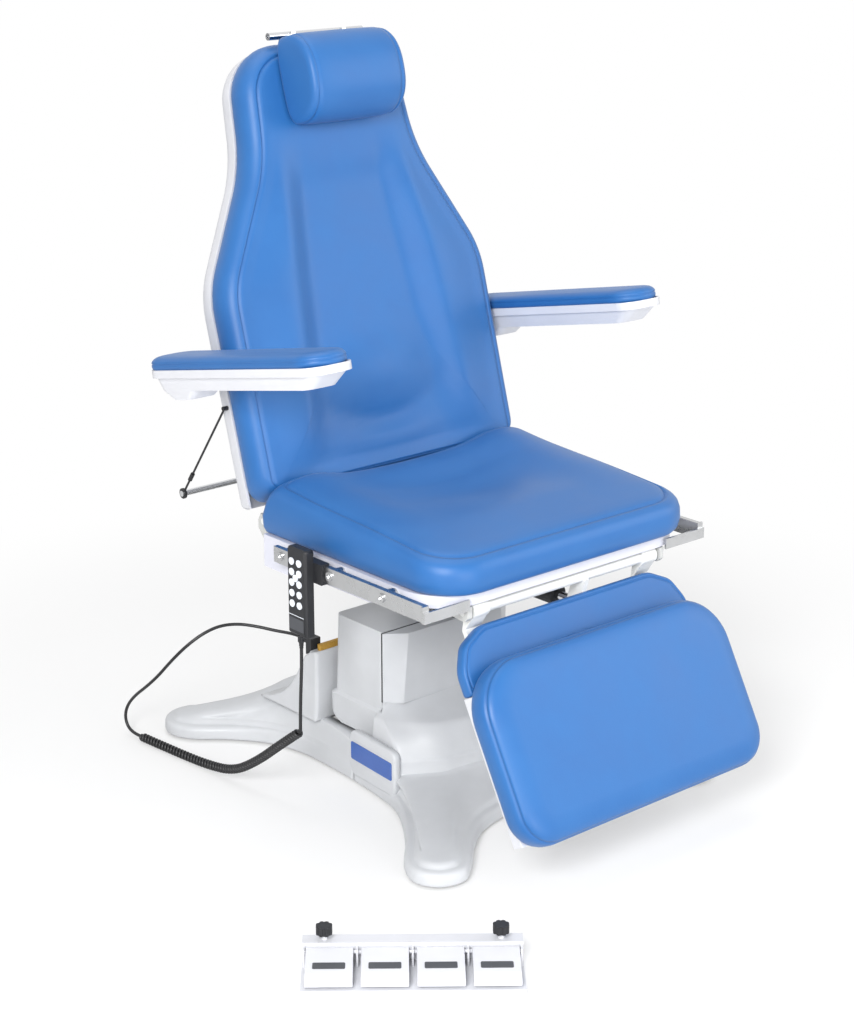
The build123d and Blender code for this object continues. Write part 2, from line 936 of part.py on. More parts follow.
with BuildPart() as tilt_rod:
    extrude(
        disc(level(tilt_rod_x, tilt_rod_y, head_z - motor_height), rod_radius),
        amount=tilt_pin_z + rod_radius - head_z + motor_height,
    )
    extrude(disc(across(tilt_rod_x, tilt_rod_y, tilt_pin_z), drive_pin_radius), amount=-pin_reach)
tilt_rod.part.label = "tilt_rod"
export_step(tilt_rod.part, "parts/tilt_rod.step")

# Welded seat frame: side bars, cross bars, tilt yoke, hinge ears and the slotted tilt lever
bar_top = frame_z + frame_height
with BuildPart() as seat_frame:
    for side in (-1, 1):
        with BuildSketch(level(side * frame_bar_x, (front_bar_y + rear_bar_y) / 2, frame_z)):
            Rectangle(frame_bar, rear_bar_y - front_bar_y + frame_bar)
        extrude(amount=frame_height)
        ear_x = side * hinge_ear_x
        extrude(
            outline(
                [
                    (rear_bar_y - frame_bar / 2, frame_z + 2 * cut_over),
                    (back_hinge_y - eye_radius, frame_z + 2 * cut_over),
                    (back_hinge_y + eye_radius, back_hinge_z - eye_radius),
                    (back_hinge_y + eye_radius, back_hinge_z),
                    (back_hinge_y + eye_radius / 2, back_hinge_z + eye_radius),
                    (back_hinge_y - eye_radius + cut_over, back_hinge_z + eye_radius / 2),
                    (back_hinge_y - eye_radius + cut_over, bar_top),
                    (rear_bar_y - frame_bar / 2, bar_top),
                ],
                across(ear_x, 0, 0),
            ),
            amount=side * hinge_ear_thick,
        )
        leg_ear_x = side * (leg_arm_x + leg_arm_width / 2 + 3 * cut_over)
        extrude(
            outline(
                [
                    (front_bar_y + frame_bar / 2, frame_z),
                    (front_bar_y + frame_bar / 2, pan_front_z),
                    (leg_hinge_y - eye_radius, pan_front_z - cut_over),
                    (leg_hinge_y - eye_radius, leg_hinge_z - eye_radius / 2),
                    (leg_hinge_y - eye_radius / 2, leg_hinge_z - eye_radius),
                    (leg_hinge_y + eye_radius / 2, leg_hinge_z - eye_radius),
                ],
                across(leg_ear_x, 0, 0),
            ),
            amount=side * hinge_ear_thick,
        )
    with BuildSketch(level(0, rear_bar_y, frame_z)):
        Rectangle(2 * (hinge_ear_x + hinge_ear_thick), frame_bar)
    extrude(amount=frame_height)
    with BuildSketch(level(0, front_bar_y, frame_z)):
        Rectangle(2 * (leg_arm_x + leg_arm_width / 2 + 3 * cut_over + hinge_ear_thick), frame_bar)
    extrude(amount=frame_height)
    yoke_plate = frame_bar_x - frame_bar / 2
    extrude(
        outline(
            [
                (-yoke_plate, tilt_y - 2 * ear_half_y),
                (yoke_plate, tilt_y - 2 * ear_half_y),
                (yoke_plate, rear_bar_y),
                (-yoke_plate, rear_bar_y),
            ],
            level(0, 0, frame_z),
        ),
        amount=ear_thick,
    )
    for side in (-1, 1):
        with BuildSketch(across(side * (ear_inner_x - slip), tilt_y, tilt_z)):
            Circle(ear_half_y)
            with Locations((0, (frame_z - tilt_z) / 2)):
                Rectangle(2 * ear_half_y, frame_z - tilt_z)
            Circle(tilt_pin_radius + pin_slip, mode=Mode.SUBTRACT)
        extrude(amount=-side * ear_thick)
    for pin_y, pin_z, pin_x in (
        (back_hinge_y, back_hinge_z, hinge_ear_x),
        (leg_hinge_y, leg_hinge_z, leg_arm_x + leg_arm_width / 2 + 3 * cut_over),
    ):
        for side in (-1, 1):
            extrude(
                disc(across(side * (pin_x - cut_over), pin_y, pin_z), hinge_radius + pin_slip),
                amount=side * (hinge_ear_thick + 2 * cut_over),
                mode=Mode.SUBTRACT,
            )
    extrude(
        disc(across(hinge_ear_x, back_hinge_y + link_arm_y, back_hinge_z + link_arm_z), link_pin_radius),
        amount=-link_thick - 2 * link_gap,
    )
    with BuildSketch(level(leg_drive_x, (front_bar_y + tilt_y - 2 * ear_half_y) / 2, frame_z)):
        Rectangle(frame_bar, tilt_y - 2 * ear_half_y - front_bar_y)
    extrude(amount=ear_thick)
    lever_x = tilt_rod_x - rod_radius - cut_over
    lever_y = tilt_rod_y - tilt_y
    with BuildSketch(across(lever_x, tilt_y, tilt_z)):
        with BuildLine():
            Polyline(
                (lever_y - 2 * lever_half, frame_z - tilt_z),
                (lever_y - 3 * lever_half / 2, tilt_pin_rise - lever_half),
                (lever_y + lever_half, tilt_pin_rise - lever_half),
                (lever_y + lever_half, frame_z - tilt_z),
                close=True,
            )
        make_face()
        with Locations(Location((lever_y - tilt_drift / 2, tilt_pin_rise - tilt_drift / 5), tilt_slot_angle)):
            SlotCenterToCenter(tilt_drift, 2 * (drive_pin_radius + cut_over / 2), mode=Mode.SUBTRACT)
    extrude(amount=-lever_thick)
seat_frame.part.label = "seat_frame"
export_step(seat_frame.part, "parts/seat_frame.step")

# Neck cover: a barrel about the tilt pivot that widens up to the seat
with BuildPart() as neck_cover:
    for inset, mode in ((0, Mode.ADD), (neck_wall, Mode.SUBTRACT)):
        barrel = neck_barrel_radius - inset
        barrel_x = neck_half_x - neck_barrel_radius
        extrude(disc(across(-barrel_x, tilt_y, tilt_z), barrel), amount=2 * barrel_x, mode=mode)
        with Locations((-barrel_x, tilt_y, tilt_z), (barrel_x, tilt_y, tilt_z)):
            Sphere(barrel, mode=mode)
        top_z = pan_heel_z if mode == Mode.ADD else pan_heel_z + cut_over
        loft(
            [
                slab(
                    level(0, tilt_y, tilt_z),
                    2 * (neck_half_x - inset),
                    2 * barrel,
                    barrel - cut_over,
                ),
                slab(
                    level(0, tilt_y, (tilt_z + top_z) / 2),
                    2 * (neck_half_x - inset) + (neck_flare_x - neck_half_x) / 2,
                    2 * barrel + (neck_flare_y - neck_barrel_radius) / 2,
                    barrel,
                ),
                slab(
                    level(0, tilt_y, top_z),
                    2 * (neck_flare_x - inset),
                    2 * (neck_flare_y - inset),
                    neck_barrel_radius + neck_barrel_radius / 3,
                ),
            ],
            mode=mode,
        )
    extrude(
        slab(level(0, tilt_y, tilt_z), 2 * (ear_inner_x + ear_thick + cut_over), 2 * neck_barrel_radius - 2 * neck_wall),
        amount=-neck_barrel_radius - cut_over,
        mode=Mode.SUBTRACT,
    )
    extrude(
        slab(
            level(tilt_rod_x - lever_thick / 2, tilt_rod_y - lever_thick / 2, hood_top_z),
            2 * tube_radius + lever_thick,
            2 * tube_radius + lever_thick,
        ),
        amount=pan_heel_z - hood_top_z + cut_over,
        mode=Mode.SUBTRACT,
    )
neck_cover.part.label = "neck_cover"
export_step(neck_cover.part, "parts/neck_cover.step")


def seat_plan(plane, half_x, front_y, back_y, corner, rear_corner):
    """The seat's plan with large front corners and small rear ones."""
    with BuildSketch(plane) as flat:
        with BuildLine():
            Polyline((-half_x, front_y), (half_x, front_y), (half_x, back_y), (-half_x, back_y), close=True)
        make_face()
        fillet(flat.vertices().group_by(Axis.Y)[0], corner)
        fillet(flat.vertices().group_by(Axis.Y)[-1], rear_corner)
    return flat.sketch


# Seat pan: a flat deck with a skirt that is deeper at the rear and open at the back
with BuildPart() as seat_pan:
    extrude(
        seat_plan(level(0, 0, pan_heel_z), seat_half_x, seat_front_y, seat_back_y, seat_corner, cut_over),
        amount=pan_top_z - pan_heel_z,
    )
    extrude(
        seat_plan(
            level(0, 0, pan_heel_z),
            seat_half_x - pan_wall,
            seat_front_y + pan_wall,
            seat_back_y + cut_over,
            seat_corner - pan_wall,
            cut_over,
        ),
        amount=pan_top_z - pan_deck - pan_heel_z,
        mode=Mode.SUBTRACT,
    )
    extrude(
        outline(
            [
                (seat_front_y - cut_over, pan_heel_z - cut_over),
                (seat_front_y - cut_over, pan_front_z),
                (seat_front_y + seat_corner, pan_front_z),
                (seat_front_y + 2 * seat_corner, pan_skirt_z),
                (pan_heel_front_y - lever_half, pan_skirt_z),
                (pan_heel_front_y, pan_heel_z),
                (pan_heel_front_y, pan_heel_z - cut_over),
            ]
        ),
        amount=seat_half_x + cut_over,
        both=True,
        mode=Mode.SUBTRACT,
    )
seat_pan.part.label = "seat_pan"
export_step(seat_pan.part, "parts/seat_pan.step")

# Seat cushion: drawn in at the foot and the seam, with a soft crown that dips towards the front
seat_slope = degrees(atan2(seat_seam_rear_z - seat_seam_front_z, seat_back_y - seat_front_y))


def seat_slice(z, slope_share, draw, corner, back_draw):
    """One slice of the seat cushion, tilted by a share of the top's slope."""
    mid_y = (seat_front_y + seat_back_y) / 2
    plane = Plane(origin=(0, mid_y, z)).rotated((seat_slope * slope_share, 0, 0))
    return seat_plan(
        plane,
        seat_half_x - draw,
        seat_front_y - seat_nose - mid_y + draw,
        seat_cushion_back_y - mid_y - back_draw,
        corner - draw / 2,
        hood_round,
    )


seam_z = (seat_seam_rear_z + seat_seam_front_z) / 2
with BuildPart() as seat_cushion:
    loft(
        [
            seat_slice(pan_top_z, 0, seat_nose / 2, seat_corner, seat_heel_draw),
            seat_slice(pan_top_z + (seam_z - pan_top_z) / 3, 1 / 3, 0, seat_corner, seat_heel_draw),
            seat_slice(pan_top_z + (seam_z - pan_top_z) * 2 / 3, 2 / 3, 0, seat_corner, 1.2 * seat_nose),
            seat_slice(seam_z, 1, seat_nose / 3, seat_corner, 2.1 * seat_nose),
        ]
    )
    loft(
        [
            seat_slice(seam_z, 1, seat_nose / 3, seat_corner, 2.1 * seat_nose),
            seat_slice(seam_z + seat_crown * 0.6, 1, seat_nose * 1.4, seat_corner, 2.7 * seat_nose),
            seat_slice(seam_z + seat_crown, 1, seat_nose * 4, seat_corner, 5 * seat_nose),
        ]
    )
seat_cushion.part.label = "seat_cushion"
export_step(seat_cushion.part, "parts/seat_cushion.step")

# Accessory rails along both sides of the seat
rail_bolts = [rail_front_y + rail_length * share for share in rail_bolt_shares]
with BuildPart() as side_rails:
    for side in (-1, 1):
        with BuildSketch(across(side * rail_face_x, rail_front_y + rail_length / 2, rail_z)):
            Rectangle(rail_length, rail_height)
            with Locations(*[(y - rail_front_y - rail_length / 2, 0) for y in rail_bolts]):
                Circle(bolt_radius + pin_slip, mode=Mode.SUBTRACT)
        extrude(amount=-side * rail_thick)
side_rails.part.label = "side_rails"
export_step(side_rails.part, "parts/side_rails.step")

# Bolts, spacers, end stops and front outriggers of the rails
with BuildPart() as rail_fittings:
    for side in (-1, 1):
        for bolt_y in rail_bolts:
            gap = rail_face_x - rail_thick - seat_half_x
            extrude(disc(across(side * seat_half_x, bolt_y, rail_z), spacer_radius), amount=side * gap)
            extrude(
                disc(across(side * (seat_half_x + gap), bolt_y, rail_z), bolt_radius), amount=side * rail_thick
            )
            with BuildSketch(across(side * rail_face_x, bolt_y, rail_z)):
                Circle(bolt_head_radius)
                RegularPolygon(bolt_head_radius / 2, 6, mode=Mode.SUBTRACT)
            extrude(amount=side * bolt_head)
        end_y = rail_front_y - stop_thick
        extrude(
            outline(
                [
                    (side * (rail_face_x - rail_thick), rail_z - rail_height / 2),
                    (side * (rail_face_x + stop_reach), rail_z - rail_height / 2),
                    (side * (rail_face_x + stop_reach), rail_z + rail_height / 2),
                    (side * (rail_face_x - rail_thick), rail_z + rail_height / 2),
                ],
                facing(0, rail_front_y, 0),
            ),
            amount=stop_thick,
        )
        bar_x = leg_arm_x + leg_arm_width / 2 + 3 * cut_over + hinge_ear_thick
        extrude(
            outline(
                [
                    (side * bar_x, rail_z - rail_height / 2),
                    (side * (rail_face_x + stop_reach), rail_z - rail_height / 2),
                    (side * (rail_face_x + stop_reach), rail_z + rail_height / 6),
                    (side * bar_x, rail_z + rail_height / 6),
                ],
                facing(0, end_y, 0),
            ),
            amount=stop_thick,
        )
rail_fittings.part.label = "rail_fittings"
export_step(rail_fittings.part, "parts/rail_fittings.step")

# Control box under the seat
with BuildPart() as control_box:
    with BuildSketch(level(control_box_x, control_box_y, frame_z - control_box_height)):
        RectangleRounded(control_box_length, control_box_width, hood_round / 2)
    extrude(amount=control_box_height)
    fillet(control_box.faces().sort_by(Axis.Z)[0].edges(), hood_round / 4)
control_box.part.label = "control_box"
export_step(control_box.part, "parts/control_box.step")


# Back drive: its tube lies under the seat and its rod moves the back's slotted lever
back_rod_z = back_hinge_z - back_drop
with BuildPart() as back_actuator:
    extrude(disc(facing(back_drive_x, back_drive_end_y, back_rod_z), tube_radius), amount=back_drive_length)
    extrude(
        disc(facing(back_drive_x, back_drive_end_y + cut_over, back_rod_z), rod_radius + slip),
        amount=back_drive_length - column_wall,
        mode=Mode.SUBTRACT,
    )
    for hold_y in (back_drive_end_y - tube_radius, back_drive_end_y - back_drive_length + tube_radius):
        with BuildSketch(facing(back_drive_x, hold_y + ear_thick / 2, back_rod_z + tube_radius)):
            with Locations((0, (frame_z - back_rod_z - tube_radius) / 2 - cut_over / 4)):
                Rectangle(tube_radius, frame_z - back_rod_z - tube_radius + cut_over / 2)
        extrude(amount=ear_thick)
back_actuator.part.label = "back_actuator"
export_step(back_actuator.part, "parts/back_actuator.step")


def ray(x, y, z, angle):
    """A plane that looks along +X, with its first axis turned by an angle from +Y towards +Z."""
    turn = radians(angle)
    return Plane(origin=(x, y, z), x_dir=(0, cos(turn), sin(turn)), z_dir=(1, 0, 0))


def lever(x, y, z, angle, near, far, pin_half):
    """A slotted lever: its body from the hinge past the slot, less the slot for the drive pin."""
    with BuildSketch(ray(x, y, z, angle)) as flat:
        with Locations((far / 2, 0)):
            Rectangle(far, 2 * lever_half)
        with Locations((far, 0)):
            Circle(lever_half)
        with Locations(((near + far) / 2, 0)):
            SlotCenterToCenter(far - near + 2 * cut_over, 2 * pin_half, mode=Mode.SUBTRACT)
    return flat.sketch


# Drive rods with a cross pin at their outer ends
back_half_angle = back_travel / 2
back_pin_y = back_hinge_y + back_pin_offset
back_slide = back_slide_rate * radians(back_travel)
with BuildPart() as back_rod:
    inner_end = back_drive_end_y - back_drive_length + column_wall + back_slide + cut_over
    extrude(
        disc(facing(back_drive_x, back_pin_y + rod_radius, back_rod_z), rod_radius),
        amount=back_pin_y + rod_radius - inner_end,
    )
    extrude(disc(across(back_drive_x, back_pin_y, back_rod_z), drive_pin_radius), amount=-pin_reach)
back_rod.part.label = "back_rod"
export_step(back_rod.part, "parts/back_rod.step")

leg_rod_z = leg_hinge_z - leg_drop
leg_pin_y = leg_hinge_y + leg_pin_offset
leg_drive_end_y = leg_drive_front_y + leg_drive_length
with BuildPart() as leg_actuator:
    extrude(disc(facing(leg_drive_x, leg_drive_end_y, leg_rod_z), tube_radius), amount=leg_drive_length)
    extrude(
        disc(facing(leg_drive_x, leg_drive_end_y - column_wall, leg_rod_z), rod_radius + slip),
        amount=leg_drive_length,
        mode=Mode.SUBTRACT,
    )
    for hold_y in (leg_drive_front_y + ear_thick, leg_drive_end_y - tube_radius):
        hold_base = leg_rod_z + tube_radius - cut_over / 4
        extrude(
            outline(
                [
                    (leg_drive_x - rod_radius, hold_base),
                    (leg_drive_x + rod_radius, hold_base),
                    (leg_drive_x + rod_radius, frame_z),
                    (leg_drive_x - rod_radius, frame_z),
                ],
                facing(0, hold_y, 0),
            ),
            amount=ear_thick,
        )
leg_actuator.part.label = "leg_actuator"
export_step(leg_actuator.part, "parts/leg_actuator.step")

with BuildPart() as leg_rod:
    leg_rod_end = leg_drive_end_y - column_wall - leg_slide_rate * radians(leg_travel_down) - cut_over
    extrude(
        disc(facing(leg_drive_x, leg_rod_end, leg_rod_z), rod_radius),
        amount=leg_rod_end - leg_pin_y + rod_radius,
    )
    extrude(disc(across(leg_drive_x, leg_pin_y, leg_rod_z), drive_pin_radius), amount=-pin_reach)
leg_rod.part.label = "leg_rod"
export_step(leg_rod.part, "parts/leg_rod.step")

# The back's own frame: up the back (u), out of its front (n), with X across
lean = radians(back_lean)
back_plane = Plane(
    origin=(0, back_hinge_y, back_hinge_z), x_dir=(1, 0, 0), z_dir=(0, -cos(lean), sin(lean))
)


def back_side(x):
    """A plane that looks along +X, with u and n of the back as its axes."""
    return Plane(origin=(x, back_hinge_y, back_hinge_z), x_dir=(0, sin(lean), cos(lean)), z_dir=(1, 0, 0))


def back_outline(height, inset, bottom, top_draw=0):
    """The back's outline at a height out of its plane: broad below, drawn in at the shoulders."""
    with BuildSketch(back_plane.offset(height)) as flat:
        broad, waist, crown = back_half_x - inset, back_neck_x - inset, back_crown_x - inset
        with BuildLine():
            Polyline(
                (-broad, bottom),
                (broad, bottom),
                (broad, back_shoulder),
                (waist, back_neck),
                (crown, back_top - inset - top_draw),
                (-crown, back_top - inset - top_draw),
                (-waist, back_neck),
                (-broad, back_shoulder),
                close=True,
            )
        make_face()
        fillet(flat.vertices().group_by(Axis.Y)[-1], back_crown_corner - inset)
        fillet([spot for spot in flat.vertices() if abs(spot.Y - back_neck) < slip], back_neck_corner)
        fillet([spot for spot in flat.vertices() if abs(spot.Y - back_shoulder) < slip], back_shoulder_corner)
        fillet(flat.vertices().group_by(Axis.Y)[0], hood_round)
    return flat.sketch


# Back frame: two uprights, the hinge tube with its stub pins, cross bars, and the slotted lever
upright_n = back_rear - slip - upright_depth / 2
with BuildPart() as back_frame:
    for side in (-1, 1):
        with BuildSketch(back_side(side * (upright_x - upright_width / 2))):
            with Locations((upright_top / 2, upright_n)):
                Rectangle(upright_top, upright_depth)
            with Locations((arm_pivot_u, arm_pivot_n)):
                Circle(arm_shaft_radius + 2 * bolt_head)
        extrude(amount=side * upright_width)
    extrude(
        disc(across(-upright_x - upright_width, back_hinge_y, back_hinge_z), 2 * hinge_radius),
        amount=2 * upright_x + 2 * upright_width,
    )
    extrude(
        disc(across(-hinge_ear_x - hinge_ear_thick, back_hinge_y, back_hinge_z), hinge_radius),
        amount=2 * hinge_ear_x + 2 * hinge_ear_thick,
    )
    for bar_u in (upright_top - upright_width, upright_top * 2 / 3):
        with BuildSketch(back_side(-upright_x)):
            with Locations((bar_u, upright_n)):
                Rectangle(upright_width, upright_depth)
        extrude(amount=2 * upright_x)
    near = back_drop
    far = back_drop / cos(radians(back_half_angle))
    extrude(
        lever(
            back_drive_x - rod_radius - cut_over,
            back_hinge_y,
            back_hinge_z,
            back_half_angle - 90,
            near,
            far,
            drive_pin_radius + drive_play + slip,
        ),
        amount=-lever_thick,
    )
    with BuildSketch(back_side(-upright_x - upright_width)):
        with Locations((arm_pivot_u, arm_pivot_n)):
            Circle(arm_shaft_radius + pin_slip)
    extrude(amount=2 * upright_x + 2 * upright_width, mode=Mode.SUBTRACT)
    with BuildSketch(back_side(-post_width / 2 - slip)):
        with Locations((upright_top, post_n)):
            Rectangle(upright_top, post_thick + 2 * slip)
    extrude(amount=post_width + 2 * slip, mode=Mode.SUBTRACT)
back_frame.part.label = "back_frame"
export_step(back_frame.part, "parts/back_frame.step")

# Back shell: a hollow moulding behind the cushion, open at the front and at the foot
with BuildPart() as back_shell:
    for inset, mode in ((0, Mode.ADD), (shell_wall, Mode.SUBTRACT)):
        foot = back_foot if mode == Mode.ADD else back_foot - hood_heel
        rim = back_rear if mode == Mode.ADD else back_rear + cut_over
        loft(
            [
                back_outline(rim, shell_lip + inset, foot),
                back_outline(back_rear - shell_depth / 3, 2 * shell_lip + inset, foot),
                back_outline(back_rear - shell_depth * 0.8, 5 * shell_lip + inset, foot),
                back_outline(back_rear - shell_depth + inset, 12 * shell_lip + inset, foot),
            ],
            mode=mode,
        )
    with BuildSketch(back_side(-back_half_x)):
        with Locations((arm_pivot_u, arm_pivot_n)):
            Circle(arm_shaft_radius + cut_over)
    extrude(amount=2 * back_half_x, mode=Mode.SUBTRACT)
    with BuildSketch(back_side(-post_width / 2 - cut_over)):
        with Locations((back_top, post_n)):
            Rectangle(3 * hood_heel, post_thick + 2 * cut_over)
    extrude(amount=post_width + 2 * cut_over, mode=Mode.SUBTRACT)
back_shell.part.label = "back_shell"
export_step(back_shell.part, "parts/back_shell.step")

# Back cushion: drawn-in sides, a crowned face and a shallow trough between its side bolsters
trough_radius = 900.0
with BuildPart() as back_cushion:
    loft(
        [
            back_outline(back_rear, 2 * shell_lip, back_foot),
            back_outline(back_rear + shell_depth / 3, 0, back_foot + hood_round / 3),
            back_outline(back_front - shell_depth / 2, 0, back_foot + hood_round),
            back_outline(back_front - back_rear, 3 * shell_lip, back_foot + 2 * hood_round),
            back_outline(back_front, 14 * shell_lip, back_foot + 4 * hood_round),
        ]
    )
    with BuildSketch(back_side(0)):
        with BuildLine():
            Polyline(
                (trough_low, back_front),
                (trough_low, back_front + trough_radius),
                (trough_high, back_front + trough_radius),
                (trough_high, back_front),
            )
            ThreePointArc(
                (trough_high, back_front),
                ((trough_low + trough_high) / 2, back_front - trough_depth),
                (trough_low, back_front),
            )
        make_face()
    trough_axis = tuple(back_plane.origin + back_plane.z_dir * (back_front + trough_radius))
    revolve(axis=Axis(trough_axis, (0, sin(lean), cos(lean))), mode=Mode.SUBTRACT)
back_cushion.part.label = "back_cushion"
export_step(back_cushion.part, "parts/back_cushion.step")

# Headrest: a flat post that slides in the back, a cross tube on it, and the pillow
with BuildPart() as headrest_bar:
    with BuildSketch(back_side(-post_width / 2)):
        with Locations(((post_foot + post_top) / 2, post_n)):
            Rectangle(post_top - post_foot, post_thick)
        with Locations((post_top - post_thick / 2, (post_n + tube_n) / 2)):
            Rectangle(post_thick, tube_n - post_n)
    extrude(amount=post_width)
    with BuildSketch(back_side(-headrest_half_x)):
        with Locations((post_top - post_thick / 2, tube_n)):
            Circle(cross_radius)
    extrude(amount=2 * headrest_half_x)
    for side in (-1, 1):
        with BuildSketch(back_side(side * headrest_half_x / 2)):
            with Locations((post_top - post_thick / 2, (tube_n + headrest_rear) / 2)):
                Rectangle(post_thick, headrest_rear - tube_n)
        extrude(amount=side * post_thick)
    with BuildSketch(back_side(-headrest_half_x)):
        with Locations((post_top - post_thick / 2, tube_n)):
            Circle(cross_radius / 2)
    extrude(amount=post_thick, mode=Mode.SUBTRACT)
headrest_bar.part.label = "headrest_bar"
export_step(headrest_bar.part, "parts/headrest_bar.step")

headrest_mid = (headrest_top + headrest_bottom) / 2
headrest_height = headrest_top - headrest_bottom
headrest_depth = headrest_front - headrest_rear


def pillow_slice(x, share):
    """One D-shaped slice across the pillow, drawn in by a share."""
    half = headrest_height / 2 * share
    deep = headrest_depth * share
    with BuildSketch(back_side(x)) as flat:
        with BuildLine():
            Polyline(
                (headrest_mid - half * 0.9, headrest_rear),
                (headrest_mid + half * 0.9, headrest_rear),
            )
            ThreePointArc(
                (headrest_mid + half * 0.9, headrest_rear),
                (headrest_mid + half, headrest_rear + deep * 0.12),
                (headrest_mid + half, headrest_rear + deep * 0.3),
            )
            ThreePointArc(
                (headrest_mid + half, headrest_rear + deep * 0.3),
                (headrest_mid + half * 0.8, headrest_rear + deep * 0.8),
                (headrest_mid + half * 0.2, headrest_rear + deep),
            )
            ThreePointArc(
                (headrest_mid + half * 0.2, headrest_rear + deep),
                (headrest_mid - half * 0.7, headrest_rear + deep * 0.85),
                (headrest_mid - half, headrest_rear + deep * 0.3),
            )
            ThreePointArc(
                (headrest_mid - half, headrest_rear + deep * 0.3),
                (headrest_mid - half, headrest_rear + deep * 0.12),
                (headrest_mid - half * 0.9, headrest_rear),
            )
        make_face()
    return flat.sketch


with BuildPart() as headrest_cushion:
    loft(
        [
            pillow_slice(headrest_half_x * reach, share)
            for reach, share in zip(pillow_reach_shares, pillow_size_shares)
        ]
    )
headrest_cushion.part.label = "headrest_cushion"
export_step(headrest_cushion.part, "parts/headrest_cushion.step")

# Cross shaft of the armrests, with the crank that keeps it level
arm_pivot = back_plane.origin + back_plane.y_dir * arm_pivot_u + back_plane.z_dir * arm_pivot_n
crank_x = hinge_ear_x - link_gap - link_thick - cut_over
with BuildPart() as arm_shaft:
    shaft_end = arm_center_x + arm_half_x / 2
    extrude(disc(across(-shaft_end, arm_pivot.Y, arm_pivot.Z), arm_shaft_radius), amount=2 * shaft_end)
    extrude(disc(across(crank_x, arm_pivot.Y, arm_pivot.Z), crank_radius), amount=-crank_thick)
    extrude(
        disc(across(crank_x, arm_pivot.Y + link_arm_y, arm_pivot.Z + link_arm_z), link_pin_radius),
        amount=link_thick + cut_over,
    )
arm_shaft.part.label = "arm_shaft"
export_step(arm_shaft.part, "parts/arm_shaft.step")

# Levelling link between the seat's hinge ear and the crank, parallel to the line of the two pivots
link_foot = Vector(0, back_hinge_y + link_arm_y, back_hinge_z + link_arm_z)
link_head = Vector(0, arm_pivot.Y + link_arm_y, arm_pivot.Z + link_arm_z)
link_run = link_head - link_foot
link_angle = degrees(atan2(link_run.Z, link_run.Y))
with BuildPart() as levelling_link:
    with BuildSketch(ray(crank_x + cut_over / 2, link_foot.Y, link_foot.Z, link_angle)):
        with Locations((link_run.length / 2, 0)):
            Rectangle(link_run.length, 2 * link_half - 1.5 * cut_over)
        Circle(link_half)
        Circle(link_pin_radius + pin_slip, mode=Mode.SUBTRACT)
        with Locations((link_run.length, 0)):
            Circle(link_half)
            Circle(link_pin_radius + 2 * slip, mode=Mode.SUBTRACT)
    extrude(amount=link_thick)
levelling_link.part.label = "levelling_link"
export_step(levelling_link.part, "parts/levelling_link.step")


def arm_level(height):
    """A plane along the armrests at a height over the pivot, with +Y to the rear."""
    rise = radians(arm_pitch)
    up = Vector(0, sin(rise), cos(rise))
    return Plane(origin=Vector(0, arm_pivot.Y, arm_pivot.Z) + up * height, x_dir=(1, 0, 0), z_dir=up)


def arm_plan(height, side, draw, front, rear, corner):
    """The plan of an armrest at a height, drawn in on all sides."""
    with BuildSketch(arm_level(height)) as flat:
        with Locations((side * arm_center_x, (front + rear) / 2)):
            RectangleRounded(2 * (arm_half_x - draw), rear - front - 2 * draw, corner - draw)
    return flat.sketch


# Armrest mouldings: a lipped tray, a body under it and a pod round the shaft
arm_shells = {}
arm_pads = {}
for side, hand in ((1, "left"), (-1, "right")):
    with BuildPart() as arm_shell:
        extrude(
            arm_plan(arm_rim - arm_lip, side, 0, arm_front, arm_rear, arm_corner),
            amount=arm_lip,
        )
        loft(
            [
                arm_plan(arm_rim - arm_lip, side, arm_inset, arm_front, arm_rear, arm_corner),
                arm_plan(arm_rim - arm_lip - arm_body, side, 2 * arm_inset, arm_front + arm_body, arm_rear, arm_corner),
            ]
        )
        loft(
            [
                arm_plan(arm_rim - arm_lip - arm_body, side, 2 * arm_inset, -pod_half - arm_body, arm_rear, arm_corner),
                arm_plan(-pod_drop, side, 2.5 * arm_inset, -pod_half, arm_rear - arm_body, arm_corner),
            ]
        )
        extrude(
            arm_plan(
                arm_rim - arm_pad_sink, side, arm_wall, arm_front, arm_rear, arm_corner
            ),
            amount=arm_pad_sink,
            mode=Mode.SUBTRACT,
        )
        bore_plane = across(side * (arm_center_x - arm_half_x), arm_pivot.Y, arm_pivot.Z)
        extrude(
            disc(bore_plane, arm_shaft_radius + pin_slip),
            amount=side * (3 * arm_half_x / 2 + cut_over / 2),
            mode=Mode.SUBTRACT,
        )
    arm_shells[hand] = arm_shell
    with BuildPart() as arm_pad:
        extrude(
            arm_plan(arm_rim - arm_pad_sink, side, arm_wall, arm_front, arm_rear, arm_corner),
            amount=arm_pad_sink,
        )
        loft(
            [
                arm_plan(arm_rim, side, arm_wall / 2, arm_front, arm_rear, arm_corner),
                arm_plan(arm_rim + arm_pad_height * 0.5, side, arm_wall / 3, arm_front, arm_rear, arm_corner),
                arm_plan(arm_rim + arm_pad_height * 0.85, side, 2 * arm_wall, arm_front, arm_rear, arm_corner),
                arm_plan(arm_rim + arm_pad_height, side, 5 * arm_wall, arm_front, arm_rear, arm_corner),
            ]
        )
    arm_pads[hand] = arm_pad
arm_shell_left, arm_shell_right = arm_shells["left"], arm_shells["right"]
arm_pad_left, arm_pad_right = arm_pads["left"], arm_pads["right"]
arm_shell_left.part.label = "arm_shell_left"
export_step(arm_shell_left.part, "parts/arm_shell_left.step")
arm_shell_right.part.label = "arm_shell_right"
export_step(arm_shell_right.part, "parts/arm_shell_right.step")
arm_pad_left.part.label = "arm_pad_left"
export_step(arm_pad_left.part, "parts/arm_pad_left.step")
arm_pad_right.part.label = "arm_pad_right"
export_step(arm_pad_right.part, "parts/arm_pad_right.step")

